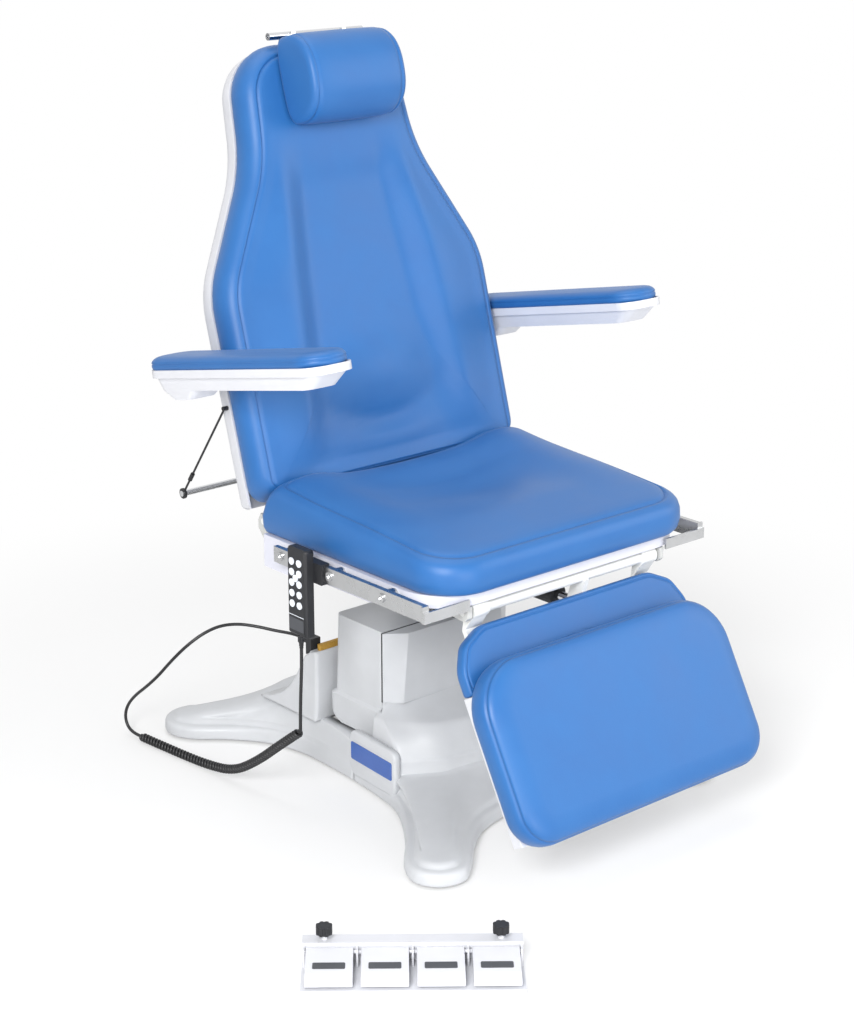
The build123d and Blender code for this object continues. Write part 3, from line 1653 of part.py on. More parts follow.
# Paper roll rod behind the back, and the two elastic straps that carry it
with BuildPart() as paper_rod:
    extrude(disc(across(-rod_half_x, rod_y, rod_z), paper_rod_radius), amount=2 * rod_half_x)
paper_rod.part.label = "paper_rod"
export_step(paper_rod.part, "parts/paper_rod.step")

with BuildPart() as rod_straps:
    for side in (-1, 1):
        loop = Vector(side * (rod_half_x - 2 * strap_radius), rod_y, rod_z)
        hook = Vector(side * (back_half_x + 2 * strap_radius), hook_y, hook_z)
        ferrule = loop + (hook - loop) * ferrule_share
        with BuildSketch(across(loop.X - strap_radius, loop.Y, loop.Z)):
            Circle(paper_rod_radius + slip + 2 * strap_radius)
            Circle(paper_rod_radius + slip, mode=Mode.SUBTRACT)
        extrude(amount=2 * strap_radius)
        tie = loop + (hook - loop).normalized() * (paper_rod_radius + slip + strap_radius)
        with BuildLine():
            strand = Line(tie, hook)
        with BuildSketch(Plane(origin=tie, z_dir=hook - tie)):
            Circle(strap_radius)
        sweep(path=strand)
        with BuildSketch(Plane(origin=ferrule, z_dir=hook - tie)):
            Circle(2 * strap_radius)
        extrude(amount=4 * strap_radius, both=True)
        extrude(
            disc(across(side * (back_half_x - shell_lip), hook.Y, hook.Z), 2 * strap_radius),
            amount=side * (shell_lip + 4 * strap_radius),
        )
rod_straps.part.label = "rod_straps"
export_step(rod_straps.part, "parts/rod_straps.step")

# The leg rest's own frame: v up the leg rest, n out of its front, with X across
leg_tilt = radians(leg_lean)
leg_plane = Plane(
    origin=(0, leg_hinge_y, leg_hinge_z), x_dir=(1, 0, 0), z_dir=(0, -cos(leg_tilt), sin(leg_tilt))
)


def leg_side(x):
    """A plane that looks along +X, with v and n of the leg rest as its axes."""
    return Plane(
        origin=(x, leg_hinge_y, leg_hinge_z), x_dir=(0, sin(leg_tilt), cos(leg_tilt)), z_dir=(1, 0, 0)
    )


leg_half_angle = (leg_travel_up + leg_travel_down) / 2
with BuildPart() as leg_frame:
    for side in (-1, 1):
        with BuildSketch(leg_side(side * (leg_arm_x - leg_arm_width / 2))):
            with BuildLine():
                Polyline(
                    (0, -eye_radius),
                    (eye_radius, 0),
                    (0, eye_radius),
                    (-eye_radius, 0),
                    (flap_top, flap_rear - slip),
                    (leg_bottom + eye_radius, flap_rear - slip),
                    (leg_bottom + eye_radius, flap_rear - slip - lever_thick),
                    (flap_top, flap_rear - slip - lever_thick),
                    close=True,
                )
            make_face()
            Circle(eye_radius)
        extrude(amount=side * leg_arm_width)
        pin_x = leg_arm_x + leg_arm_width / 2
        extrude(
            disc(across(side * pin_x, leg_hinge_y, leg_hinge_z), hinge_radius),
            amount=side * (3 * cut_over + hinge_ear_thick),
        )
        with BuildSketch(leg_side(-leg_arm_x)):
            for bar_v in (leg_top, leg_bottom + 2 * eye_radius):
                with Locations((bar_v, flap_rear - slip - lever_thick / 2)):
                    Rectangle(upright_width, lever_thick)
        extrude(amount=2 * leg_arm_x)
    extrude(
        disc(across(-leg_arm_x, leg_hinge_y, leg_hinge_z), eye_radius - 2 * cut_over), amount=2 * leg_arm_x
    )
    extrude(
        lever(
            leg_drive_x - rod_radius - cut_over,
            leg_hinge_y,
            leg_hinge_z,
            leg_half_angle - leg_travel_down - 90,
            leg_drop,
            leg_drop / cos(radians(leg_half_angle)),
            drive_pin_radius + drive_play + 3 * slip,
        ),
        amount=-lever_thick,
    )
leg_frame.part.label = "leg_frame"
export_step(leg_frame.part, "parts/leg_frame.step")

# Upholstered flap at the top of the leg rest
with BuildPart() as leg_flap:
    with BuildSketch(leg_plane.offset(flap_rear)):
        with BuildLine():
            Polyline(
                (-flap_half_x, flap_top),
                (flap_half_x, flap_top),
                (flap_wide_x, flap_corner_v),
                (leg_half_x - seat_nose, leg_top),
                (leg_half_x - seat_nose, flap_bottom),
                (-leg_half_x + seat_nose, flap_bottom),
                (-leg_half_x + seat_nose, leg_top),
                (-flap_wide_x, flap_corner_v),
                close=True,
            )
        make_face()
    extrude(amount=flap_front - flap_rear)
    fillet(leg_flap.faces().sort_by(Axis((0, 0, 0), leg_plane.z_dir))[-1].edges(), hood_round / 4)
    with BuildSketch(leg_plane.offset(flap_rear)):
        with Locations((leg_drive_x - rod_radius - cut_over - lever_thick / 2, flap_top - rod_radius)):
            Rectangle(lever_thick + cut_over, 2 * rod_radius)
    extrude(amount=2 * rod_radius, mode=Mode.SUBTRACT)
leg_flap.part.label = "leg_flap"
export_step(leg_flap.part, "parts/leg_flap.step")


def leg_outline(height, inset):
    """The outline of the leg cushion at a height out of its plane."""
    with BuildSketch(leg_plane.offset(height)) as flat:
        half = leg_half_x - inset
        with BuildLine():
            Polyline(
                (-half, leg_bottom + inset),
                (half, leg_bottom + inset),
                (half, leg_top - inset),
                (-half, leg_top - inset),
                close=True,
            )
        make_face()
        fillet(flat.vertices().group_by(Axis.Y)[-1], leg_top_corner - inset)
        fillet(flat.vertices().group_by(Axis.Y)[0], leg_bottom_corner - inset / 2)
    return flat.sketch


# Backing board of the leg cushion below the flap
with BuildPart() as leg_shell:
    with BuildSketch(leg_plane.offset(flap_rear)):
        with BuildLine():
            Polyline(
                (-leg_half_x + seat_nose, leg_bottom + seat_nose / 2),
                (leg_half_x - seat_nose, leg_bottom + seat_nose / 2),
                (leg_half_x - seat_nose, flap_bottom - slip),
                (-leg_half_x + seat_nose, flap_bottom - slip),
                close=True,
            )
        make_face()
    extrude(amount=flap_front - flap_rear)
leg_shell.part.label = "leg_shell"
export_step(leg_shell.part, "parts/leg_shell.step")

# Leg cushion with a crowned front and drawn-in sides
with BuildPart() as leg_cushion:
    loft(
        [
            leg_outline(flap_front, seat_nose / 3),
            leg_outline((flap_front + leg_front) / 3, 0),
            leg_outline((flap_front + leg_front) * 2 / 3, 0),
            leg_outline(leg_front, seat_nose / 3),
            leg_outline(leg_front + leg_crown, 2 * seat_nose),
        ]
    )
leg_cushion.part.label = "leg_cushion"
export_step(leg_cushion.part, "parts/leg_cushion.step")

# Corded handset, its keypad and the block that holds it to the rail
handset_x = -rail_face_x - handset_gap - bolt_head
handset_mid_z = (handset_top_z + handset_bottom_z) / 2
handset_height = handset_top_z - handset_bottom_z
with BuildPart() as handset_case:
    extrude(
        slab(
            across(handset_x, handset_y, handset_mid_z), handset_width, handset_height, handset_thick / 4
        ),
        amount=-handset_thick,
    )
    chamfer(
        handset_case.faces().sort_by(Axis.X)[0].edges().sort_by(Axis.Z)[-1], handset_thick / 4
    )
    extrude(
        disc(level(handset_x - handset_thick / 2, handset_y, handset_bottom_z), 2 * lead_radius),
        amount=-relief_length,
    )
handset_case.part.label = "handset_case"
export_step(handset_case.part, "parts/handset_case.step")

with BuildPart() as handset_keypad:
    with BuildSketch(across(handset_x - handset_thick, handset_y, handset_top_z - key_top)):
        with GridLocations(key_pitch_y, key_pitch_z, 2, 5):
            Circle(key_radius)
        with Locations((0, key_pitch_z / 2)):
            Circle(key_radius)
    extrude(amount=-key_rise)
handset_keypad.part.label = "handset_keypad"
export_step(handset_keypad.part, "parts/handset_keypad.step")

with BuildPart() as handset_clip:
    with BuildSketch(facing(0, clip_mid_y + clip_length / 2, 0)):
        with BuildLine():
            Polyline(
                (handset_x, rail_z - rail_height / 2 - clip_wall),
                (-rail_face_x + rail_thick, rail_z - rail_height / 2 - clip_wall),
                (-rail_face_x + rail_thick, rail_z - rail_height / 2 - slip),
                (-rail_face_x - slip, rail_z - rail_height / 2 - slip),
                (-rail_face_x - slip, rail_z + rail_height / 2 + slip),
                (-rail_face_x + rail_thick, rail_z + rail_height / 2 + slip),
                (-rail_face_x + rail_thick, rail_z + rail_height / 2 + clip_wall),
                (handset_x, rail_z + rail_height / 2 + clip_wall),
                close=True,
            )
        make_face()
    extrude(amount=clip_length)
handset_clip.part.label = "handset_clip"
export_step(handset_clip.part, "parts/handset_clip.step")

# The handset's lead: a straight drop, a curled length, and an arc up to its plug
lead_x = handset_x - handset_thick / 2
lead_start = Vector(lead_x, handset_y, handset_bottom_z - relief_length)


def lead_path(route):
    """A path of straight runs and the largest arcs that they allow, with its radii printed."""
    spots = [Vector(*spot) for spot in route]
    bends = []
    for before, spot, after in zip(spots, spots[1:], spots[2:]):
        turn = radians((spot - before).get_angle(after - spot))
        bends.append(0.45 * min((spot - before).length, (after - spot).length) / tan(turn / 2))
    print("bends", [round(bend, 1) for bend in bends])
    with BuildLine() as path:
        FilletPolyline(*spots, radius=bends)
    return path.wire()


drop_route = [lead_start, (lead_x, handset_y, 300), (-348.6, -52.4, 260), (-350, -51.2, 216), curl_route[0]]
drop = lead_path(drop_route)
with BuildPart() as lead_drop:
    with BuildSketch(Plane(origin=drop @ 0, z_dir=drop % 0)):
        Circle(lead_radius)
    sweep(path=drop)
lead_drop.part.label = "lead_drop"
export_step(lead_drop.part, "parts/lead_drop.step")
print("lead_drop volume", lead_drop.part.volume / (pi * lead_radius**2 * drop.length))

curl_line = lead_path(curl_route)
curl_wind = curl_radius - lead_radius
spots, courses = [], []
for step in range(4 * curl_count + 1):
    share = step / (4 * curl_count)
    spot, along = curl_line @ share, curl_line % share
    first = (Vector(1, 0, 0) - along * along.X).normalized()
    second = along.cross(first)
    turn = pi / 2 * (step + 1)
    spots.append(spot + first * curl_wind * cos(turn) + second * curl_wind * sin(turn))
    round_trip = (second * cos(turn) - first * sin(turn)) * 2 * pi * curl_wind
    courses.append((along * curl_line.length / curl_count + round_trip).normalized())
turns = []
for near_spot, far_spot, near_way, far_way in zip(spots, spots[1:], courses, courses[1:]):
    chord = far_spot - near_spot
    lean_in = chord.dot(near_way + far_way)
    spread = 2 * (1 - near_way.dot(far_way))
    arm = (sqrt(lean_in**2 + spread * chord.dot(chord)) - lean_in) / spread
    middle = (near_spot + near_way * arm + far_spot - far_way * arm) / 2
    middle_way = (far_spot - far_way * arm - near_spot - near_way * arm).normalized()
    turns.append(Edge.make_tangent_arc(near_spot, near_way, middle))
    turns.append(Edge.make_tangent_arc(middle, middle_way, far_spot))
curl_wire = Wire(turns)
with BuildPart() as lead_curl:
    with BuildSketch(Plane(origin=spots[0], z_dir=courses[0])):
        Circle(lead_radius)
    sweep(path=curl_wire)
lead_curl.part.label = "lead_curl"
export_step(lead_curl.part, "parts/lead_curl.step")
print("lead_curl volume", lead_curl.part.volume / (pi * lead_radius**2 * curl_wire.length))
samples = [curl_wire @ (index / (32 * curl_count)) for index in range(32 * curl_count + 1)]
gap = min(
    (samples[index] - samples[other]).length
    for index in range(0, len(samples), 2)
    for other in range(index + 20, min(index + 48, len(samples)))
)
print("lead_curl least gap between turns", round(gap - 2 * lead_radius, 2))

arc_route = [curl_route[-1]] + arc_points + [(socket_x, socket_y + plug_length, socket_z)]
arc = lead_path(arc_route)
with BuildPart() as lead_arc:
    with BuildSketch(Plane(origin=arc @ 0, z_dir=arc % 0)):
        Circle(lead_radius)
    sweep(path=arc)
lead_arc.part.label = "lead_arc"
export_step(lead_arc.part, "parts/lead_arc.step")
print("lead_arc volume", lead_arc.part.volume / (pi * lead_radius**2 * arc.length))
print("lead lengths", round(drop.length), round(curl_line.length), round(curl_wire.length), round(arc.length))

with BuildPart() as lead_plug:
    extrude(disc(facing(socket_x, socket_y + plug_length, socket_z), plug_radius), amount=plug_length)
lead_plug.part.label = "lead_plug"
export_step(lead_plug.part, "parts/lead_plug.step")

# Sockets: the handset's socket behind the crest, the mains inlet at the rear, the control's port
ramp_fall = (crest_z - ramp_end_z) / (ramp_end_y - crest_back_y)
control_plane = Plane(origin=(control_x, control_y, 0)).rotated((0, 0, control_turn))
with BuildPart() as base_sockets:
    extrude(
        outline(
            [
                (crest_back_y, crest_z),
                (socket_y, crest_z - ramp_fall * (socket_y - crest_back_y)),
                (socket_y, socket_z + 1.6 * plug_radius),
                (crest_back_y, socket_z + 1.6 * plug_radius),
            ],
            across(socket_x - 1.7 * plug_radius, 0, 0),
        ),
        amount=3.4 * plug_radius,
    )
    inlet_z = (deck_z + cover_lift) / 2
    with BuildSketch(Plane(origin=(0, ramp_end_y, inlet_z), x_dir=(-1, 0, 0), z_dir=(0, 1, 0))):
        RectangleRounded(4 * rod_radius, 2.5 * rod_radius, rod_radius / 3)
        Rectangle(3 * rod_radius, 1.5 * rod_radius, mode=Mode.SUBTRACT)
    extrude(amount=rod_radius)
base_sockets.part.label = "base_sockets"
export_step(base_sockets.part, "parts/base_sockets.step")

# Foot control: a base with a rear ridge and dividers, four rocker pedals and two knobs on posts
pedal_pitch = control_width / pedal_count
pedal_width = pedal_pitch - pedal_gap
half_deep = control_depth / 2
hinge_deep = half_deep - ridge_depth - pedal_barrel - slip - slip
divider_places = [(index - pedal_count / 2) * pedal_pitch for index in range(1, pedal_count)]


def control_side(x):
    """A plane that looks along the foot control, with its depth and height as axes."""
    return Plane(origin=control_plane.from_local_coords(Vector(x, 0, 0)), x_dir=control_plane.y_dir, z_dir=control_plane.x_dir)


with BuildPart() as pedal_base:
    with BuildSketch(control_plane):
        RectangleRounded(control_width, control_depth, cut_over)
    extrude(amount=control_height)
    with BuildSketch(control_plane.offset(control_height)):
        with Locations((0, half_deep - ridge_depth / 2)):
            Rectangle(control_width, ridge_depth)
    extrude(amount=ridge_height - control_height)
    for place in divider_places + [-control_width / 2 + pedal_gap / 4, control_width / 2 - pedal_gap / 4]:
        with BuildSketch(control_side(place - pedal_gap / 8)):
            with BuildLine():
                Polyline(
                    (half_deep - ridge_depth, control_height),
                    (hinge_deep - 2 * pedal_barrel, control_height),
                    (hinge_deep - pedal_barrel, pedal_hinge_z + pedal_barrel),
                    (half_deep - ridge_depth, pedal_hinge_z + pedal_barrel),
                    close=True,
                )
            make_face()
        extrude(amount=pedal_gap / 4)
    with BuildSketch(control_side(-control_width / 2 + pedal_gap / 4)):
        with Locations((hinge_deep, pedal_hinge_z)):
            Circle(pedal_pin)
    extrude(amount=control_width - pedal_gap / 2)
    with BuildSketch(control_plane.offset(ridge_height)):
        with Locations(*[(side * (control_width / 2 - knob_inset), half_deep - ridge_depth / 2) for side in (-1, 1)]):
            Circle(post_size)
    extrude(amount=post_rise)
pedal_base.part.label = "pedal_base"
export_step(pedal_base.part, "parts/pedal_base.step")

pedals = []
for index in range(pedal_count):
    place = (index + 0.5 - pedal_count / 2) * pedal_pitch
    with BuildPart() as pedal:
        with BuildSketch(control_side(place - pedal_width / 2)):
            with BuildLine():
                Polyline(
                    (hinge_deep, pedal_hinge_z - pedal_barrel),
                    (hinge_deep - 3 * pedal_barrel, control_height + pedal_clear + pedal_clear),
                    (-half_deep + pedal_clear, control_height + pedal_clear),
                    (-half_deep + cut_over, control_height + pedal_clear + pedal_thick),
                    (-half_deep + 3 * pedal_barrel, control_height + pedal_clear + 1.6 * pedal_thick),
                    (hinge_deep, pedal_hinge_z + pedal_barrel),
                    close=True,
                )
            make_face()
            with Locations((hinge_deep, pedal_hinge_z)):
                Circle(pedal_barrel)
                Circle(pedal_pin + pin_slip, mode=Mode.SUBTRACT)
        extrude(amount=pedal_width)
    pedals.append(pedal)
pedal_1, pedal_2, pedal_3, pedal_4 = pedals
pedal_1.part.label = "pedal_1"
export_step(pedal_1.part, "parts/pedal_1.step")
pedal_2.part.label = "pedal_2"
export_step(pedal_2.part, "parts/pedal_2.step")
pedal_3.part.label = "pedal_3"
export_step(pedal_3.part, "parts/pedal_3.step")
pedal_4.part.label = "pedal_4"
export_step(pedal_4.part, "parts/pedal_4.step")

knobs = []
for side in (-1, 1):
    with BuildPart() as knob:
        with BuildSketch(control_plane.offset(ridge_height + 2 * knob_rise / 3)):
            with Locations((side * (control_width / 2 - knob_inset), half_deep - ridge_depth / 2)):
                Circle(knob_radius)
                with PolarLocations(knob_radius + knob_rise / 8, 8):
                    Circle(knob_rise / 4, mode=Mode.SUBTRACT)
        extrude(amount=knob_rise)
        with BuildSketch(control_plane.offset(ridge_height)):
            with Locations((side * (control_width / 2 - knob_inset), half_deep - ridge_depth / 2)):
                Circle(post_size + pin_slip)
        extrude(amount=post_rise + slip + slip, mode=Mode.SUBTRACT)
    knobs.append(knob)
knob_near, knob_far = knobs
knob_near.part.label = "knob_near"
export_step(knob_near.part, "parts/knob_near.step")
knob_far.part.label = "knob_far"
export_step(knob_far.part, "parts/knob_far.step")
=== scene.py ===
"""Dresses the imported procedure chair: upholstery, mouldings, metals, the handset's lead and a studio."""

from __future__ import annotations

import json
import logging
import math
from collections.abc import Callable
from dataclasses import dataclass, field
from enum import Enum

import bmesh
import bpy
import numpy as np
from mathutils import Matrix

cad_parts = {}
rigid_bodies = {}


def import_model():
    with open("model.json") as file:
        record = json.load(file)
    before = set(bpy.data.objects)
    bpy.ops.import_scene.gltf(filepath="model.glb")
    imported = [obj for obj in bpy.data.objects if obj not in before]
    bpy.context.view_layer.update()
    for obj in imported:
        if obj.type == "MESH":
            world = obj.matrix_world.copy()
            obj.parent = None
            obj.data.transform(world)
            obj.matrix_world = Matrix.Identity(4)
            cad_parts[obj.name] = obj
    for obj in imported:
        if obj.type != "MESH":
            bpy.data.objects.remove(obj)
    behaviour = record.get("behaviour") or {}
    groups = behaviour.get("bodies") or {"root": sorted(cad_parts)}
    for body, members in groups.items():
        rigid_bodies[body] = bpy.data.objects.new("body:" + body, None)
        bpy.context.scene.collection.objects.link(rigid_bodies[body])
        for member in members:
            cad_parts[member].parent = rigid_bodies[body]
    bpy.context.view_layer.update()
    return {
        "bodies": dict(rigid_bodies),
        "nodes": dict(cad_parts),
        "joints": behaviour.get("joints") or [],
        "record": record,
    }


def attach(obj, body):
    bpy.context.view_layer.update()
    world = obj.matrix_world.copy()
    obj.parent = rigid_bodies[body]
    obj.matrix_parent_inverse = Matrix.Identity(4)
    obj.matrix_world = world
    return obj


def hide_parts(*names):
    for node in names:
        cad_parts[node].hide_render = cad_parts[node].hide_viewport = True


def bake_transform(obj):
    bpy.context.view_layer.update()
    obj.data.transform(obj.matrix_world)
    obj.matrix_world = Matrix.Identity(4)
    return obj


LOG = logging.getLogger("chair")
MM = 0.001
Array = np.ndarray
Table = tuple[tuple[float, ...], ...]

FACE_RINGS = 26  # rings between a pad's rim and the middle of its face
UNDER_SHARES = (0.9, 0.5, 0.1)  # where the rings of a pad's underside lie between its edge and its middle


class Finish(Enum):
    """The finishes of the chair, each with the record's slot that it belongs to."""

    COVER = "cover_plastic"
    SHELL = "shell_plastic"
    PAN = "pan_plastic"
    VINYL = "vinyl"
    FRAME = "frame_steel"
    WHITE = "white_steel"
    DARK = "dark_plastic"
    BOX = "grey_plastic"
    KEY = "key_white"
    RAIL = "rail_steel"
    CHROME = "bright_steel"
    COLUMN = "column_alu"
    SEAL = "seal_rubber"
    STRIP = "strip_cork"
    PLATE = "plate_blue"
    LEAD = "lead_rubber"


@dataclass(frozen=True)
class Recipe:
    """What one finish is made of and how its surface reads.

    Fields: deep and pale are the two ends of its colour variation as sRGB hex, patch_mm the size of
    that variation, grain_mm the size of the surface grain, grain_depth the bump's height in mm,
    stretch the pull of the grain along Y, and the rest are the shader's own values.
    """

    title: str
    deep: str
    pale: str
    roughness: float
    rough_swing: float = 0.06
    metallic: float = 0.0
    ior: float = 1.5
    coat: float = 0.0
    sheen: float = 0.0
    patch_mm: float = 60.0
    grain_mm: float = 1.5
    grain_depth: float = 0.05
    stretch: float = 1.0
    pebbled: bool = False


RECIPES: dict[Finish, Recipe] = {
    # Injection moulded ABS: satin, with a fine spark-eroded texture and slight shade drift
    Finish.COVER: Recipe("moulded ABS light grey", "#BFC1C4", "#CDCFD2", 0.42, grain_mm=1.2, grain_depth=0.03),
    Finish.SHELL: Recipe("moulded ABS off-white", "#CDCED3", "#D8D9DE", 0.38, grain_mm=1.2, grain_depth=0.025),
    Finish.PAN: Recipe("moulded ABS lavender grey", "#CDCEDA", "#DADBE4", 0.40, grain_mm=1.2, grain_depth=0.03),
    # PVC upholstery cloth: pebbled grain of about 1.6 mm, soft sheen, faint mottling from stretching
    Finish.VINYL: Recipe(
        "pebbled PVC upholstery", "#1F5C9C", "#2968A8", 0.45, rough_swing=0.1, ior=1.46, sheen=0.06,
        patch_mm=90.0, grain_mm=1.7, grain_depth=0.16, pebbled=True,
    ),
    # Powder coat: orange peel a few millimetres across
    Finish.FRAME: Recipe("grey powder coat", "#B9BAB8", "#C6C7C4", 0.45, grain_mm=3.0, grain_depth=0.05),
    Finish.WHITE: Recipe("white powder coat", "#DADBD8", "#E8E8E5", 0.42, grain_mm=3.0, grain_depth=0.05),
    # Textured polyamide: matt, near black
    Finish.DARK: Recipe("textured black polyamide", "#17181B", "#222327", 0.55, grain_mm=0.9, grain_depth=0.06),
    Finish.BOX: Recipe("textured grey polyamide", "#3C3E43", "#4A4C51", 0.55, grain_mm=1.0, grain_depth=0.06),
    Finish.KEY: Recipe("domed polyester keys", "#DDE3EE", "#EEF2F8", 0.30, coat=0.3, grain_depth=0.01),
    # Stainless steel brushed along its length: fine lines, drawn coarser than real so that they show
    Finish.RAIL: Recipe(
        "brushed stainless steel", "#B4B5B6", "#CDCECF", 0.28, rough_swing=0.12, metallic=1.0,
        patch_mm=40.0, grain_mm=1.2, grain_depth=0.006, stretch=0.02,
    ),
    Finish.CHROME: Recipe("polished chrome plate", "#D2D4D6", "#E2E3E5", 0.10, metallic=1.0, grain_depth=0.005),
    Finish.COLUMN: Recipe(
        "clear anodised aluminium", "#A9ABAD", "#B8BABC", 0.34, metallic=1.0, grain_mm=0.8, grain_depth=0.02,
        stretch=0.1,
    ),
    Finish.SEAL: Recipe("EPDM rubber seal", "#0F0F10", "#1A1A1B", 0.62, grain_mm=1.0, grain_depth=0.05),
    # Bonded cork and rubber crumb: coarse ochre grains
    Finish.STRIP: Recipe(
        "bonded cork crumb", "#8F6A22", "#CFA347", 0.75, patch_mm=3.0, grain_mm=2.2, grain_depth=0.35, pebbled=True
    ),
    Finish.PLATE: Recipe("plain printed plate", "#1F4F9E", "#2A5CAE", 0.25, coat=0.4, grain_depth=0.005),
    Finish.LEAD: Recipe("polyurethane cable jacket", "#101012", "#1B1B1E", 0.40, grain_mm=1.0, grain_depth=0.03),
}


def linear(code: str) -> tuple[float, float, float, float]:
    """Turns an sRGB hex colour to linear RGBA.

    Args:
        code: The colour as #RRGGBB.

    Returns:
        The four linear numbers.
    """
    parts = np.array([int(code[index : index + 2], 16) for index in (1, 3, 5)]) / 255.0
    flat = np.where(parts <= 0.04045, parts / 12.92, ((parts + 0.055) / 1.055) ** 2.4)
    return (float(flat[0]), float(flat[1]), float(flat[2]), 1.0)


def node(tree: bpy.types.NodeTree, kind: str, settings: dict, links: dict) -> bpy.types.Node:
    """Adds one node to a tree.

    Args:
        tree: The tree it goes into.
        kind: The node's type name.
        settings: Its properties and input values by name; an input's name starts with a capital.
        links: Input names with the output sockets that feed them.

    Returns:
        The node.
    """
    made = tree.nodes.new(kind)
    for name, value in settings.items():
        if name in made.inputs:
            made.inputs[name].default_value = value
        else:
            setattr(made, name, value)
    for name, source in links.items():
        tree.links.new(source, made.inputs[name])
    return made


def make_material(finish: Finish) -> bpy.types.Material:
    """Builds one finish: two mixed tones, roughness that drifts, and a grain on Object coordinates.

    Args:
        finish: The finish to build.

    Returns:
        The material.
    """
    recipe = RECIPES[finish]
    material = bpy.data.materials.new(recipe.title)
    material.use_nodes = True
    tree = material.node_tree
    tree.nodes.clear()
    place = node(tree, "ShaderNodeTexCoord", {}, {}).outputs["Object"]
    pulled = node(tree, "ShaderNodeMapping", {"Scale": (1.0, recipe.stretch, 1.0)}, {"Vector": place})
    patch = node(
        tree, "ShaderNodeTexNoise", {"Scale": 1 / (recipe.patch_mm * MM), "Detail": 3.0, "Roughness": 0.55},
        {"Vector": place},
    )
    tone = node(tree, "ShaderNodeMix", {"data_type": "RGBA"}, {"Factor": patch.outputs["Fac"]})
    tone.inputs[6].default_value = linear(recipe.deep)
    tone.inputs[7].default_value = linear(recipe.pale)
    if recipe.pebbled:
        grain = node(
            tree, "ShaderNodeTexVoronoi", {"Scale": 1 / (recipe.grain_mm * MM), "feature": "SMOOTH_F1"},
            {"Vector": pulled.outputs["Vector"]},
        ).outputs["Distance"]
    else:
        grain = node(
            tree, "ShaderNodeTexNoise", {"Scale": 1 / (recipe.grain_mm * MM), "Detail": 2.0},
            {"Vector": pulled.outputs["Vector"]},
        ).outputs["Fac"]
    bump = node(
        tree, "ShaderNodeBump", {"Strength": 0.5, "Distance": recipe.grain_depth * MM}, {"Height": grain}
    )
    rough = node(
        tree, "ShaderNodeMapRange",
        {"To Min": recipe.roughness - recipe.rough_swing, "To Max": recipe.roughness + recipe.rough_swing},
        {"Value": patch.outputs["Fac"]},
    )
    shader = node(
        tree, "ShaderNodeBsdfPrincipled",
        {"Metallic": recipe.metallic, "IOR": recipe.ior, "Coat Weight": recipe.coat, "Sheen Weight": recipe.sheen},
        {"Base Color": tone.outputs[2], "Roughness": rough.outputs["Result"], "Normal": bump.outputs["Normal"]},
    )
    node(tree, "ShaderNodeOutputMaterial", {}, {"Surface": shader.outputs["BSDF"]})
    return material


@dataclass
class Wardrobe:
    """Holds each finish's material, made once."""

    made: dict[Finish, bpy.types.Material] = field(default_factory=dict)

    def get(self, finish: Finish) -> bpy.types.Material:
        """Gets a finish's material, and makes it the first time.

        Args:
            finish: The finish.

        Returns:
            Its material.
        """
        if finish not in self.made:
            self.made[finish] = make_material(finish)
        return self.made[finish]

    def dress(self, piece: bpy.types.Object, finish: Finish) -> bpy.types.Object:
        """Gives a piece one finish.

        Args:
            piece: The object to dress.
            finish: Its finish.

        Returns:
            The same object.
        """
        piece.data.materials.clear()
        piece.data.materials.append(self.get(finish))
        LOG.info("%s: %s", piece.name, RECIPES[finish].title)
        return piece

    def upholster(self, pad: bpy.types.Object, body: str, solid: str) -> None:
        """Covers a pad in vinyl, sets it on its body and hides the solid that it stands for.

        Args:
            pad: The pad.
            body: The body it rides on.
            solid: The node that it is shown for.
        """
        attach(self.dress(pad, Finish.VINYL), body)
        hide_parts(solid)


@dataclass(frozen=True)
class Plane:
    """A flat working plane in metres: an origin and three directions."""

    origin: tuple[float, float, float]
    right: tuple[float, float, float]
    up: tuple[float, float, float]

    def out(self) -> Array:
        """The direction out of the plane: right crossed with up."""
        return np.cross(np.array(self.right), np.array(self.up))

    def place(self, points: Array) -> Array:
        """Moves local millimetres to the row frame in metres.

        Args:
            points: Local positions, (..., 3): right, up and out of the plane.

        Returns:
            The positions in the row frame.
        """
        frame = np.array([self.right, self.up, self.out()])
        return np.array(self.origin) + MM * (np.asarray(points, float) @ frame)


def tilted(origin: tuple[float, float, float], lean: float) -> Plane:
    """A plane that faces forward and leans to the rear.

    Args:
        origin: Its origin in metres.
        lean: The angle that its up makes with the vertical, in degrees.

    Returns:
        The plane.
    """
    turn = math.radians(lean)
    return Plane(origin, (1.0, 0.0, 0.0), (0.0, math.sin(turn), math.cos(turn)))


LEVEL = Plane((0.0, 0.0, 0.0), (1.0, 0.0, 0.0), (0.0, 1.0, 0.0))
BACK = tilted((0.0, 0.150, 0.490), 16.0)
LEG = tilted((0.0, -0.338, 0.446), 29.0)
ARM_PIVOT = (0.0, 0.233752, 0.738543)
ARM_RISE = math.radians(11.4)
ARM = Plane(ARM_PIVOT, (1.0, 0.0, 0.0), (0.0, math.cos(ARM_RISE), -math.sin(ARM_RISE)))
CONTROL_TURN = math.radians(-40.1)
CONTROL = Plane(
    (-0.550, -0.583, 0.0),
    (math.cos(CONTROL_TURN), math.sin(CONTROL_TURN), 0.0),
    (-math.sin(CONTROL_TURN), math.cos(CONTROL_TURN), 0.0),
)


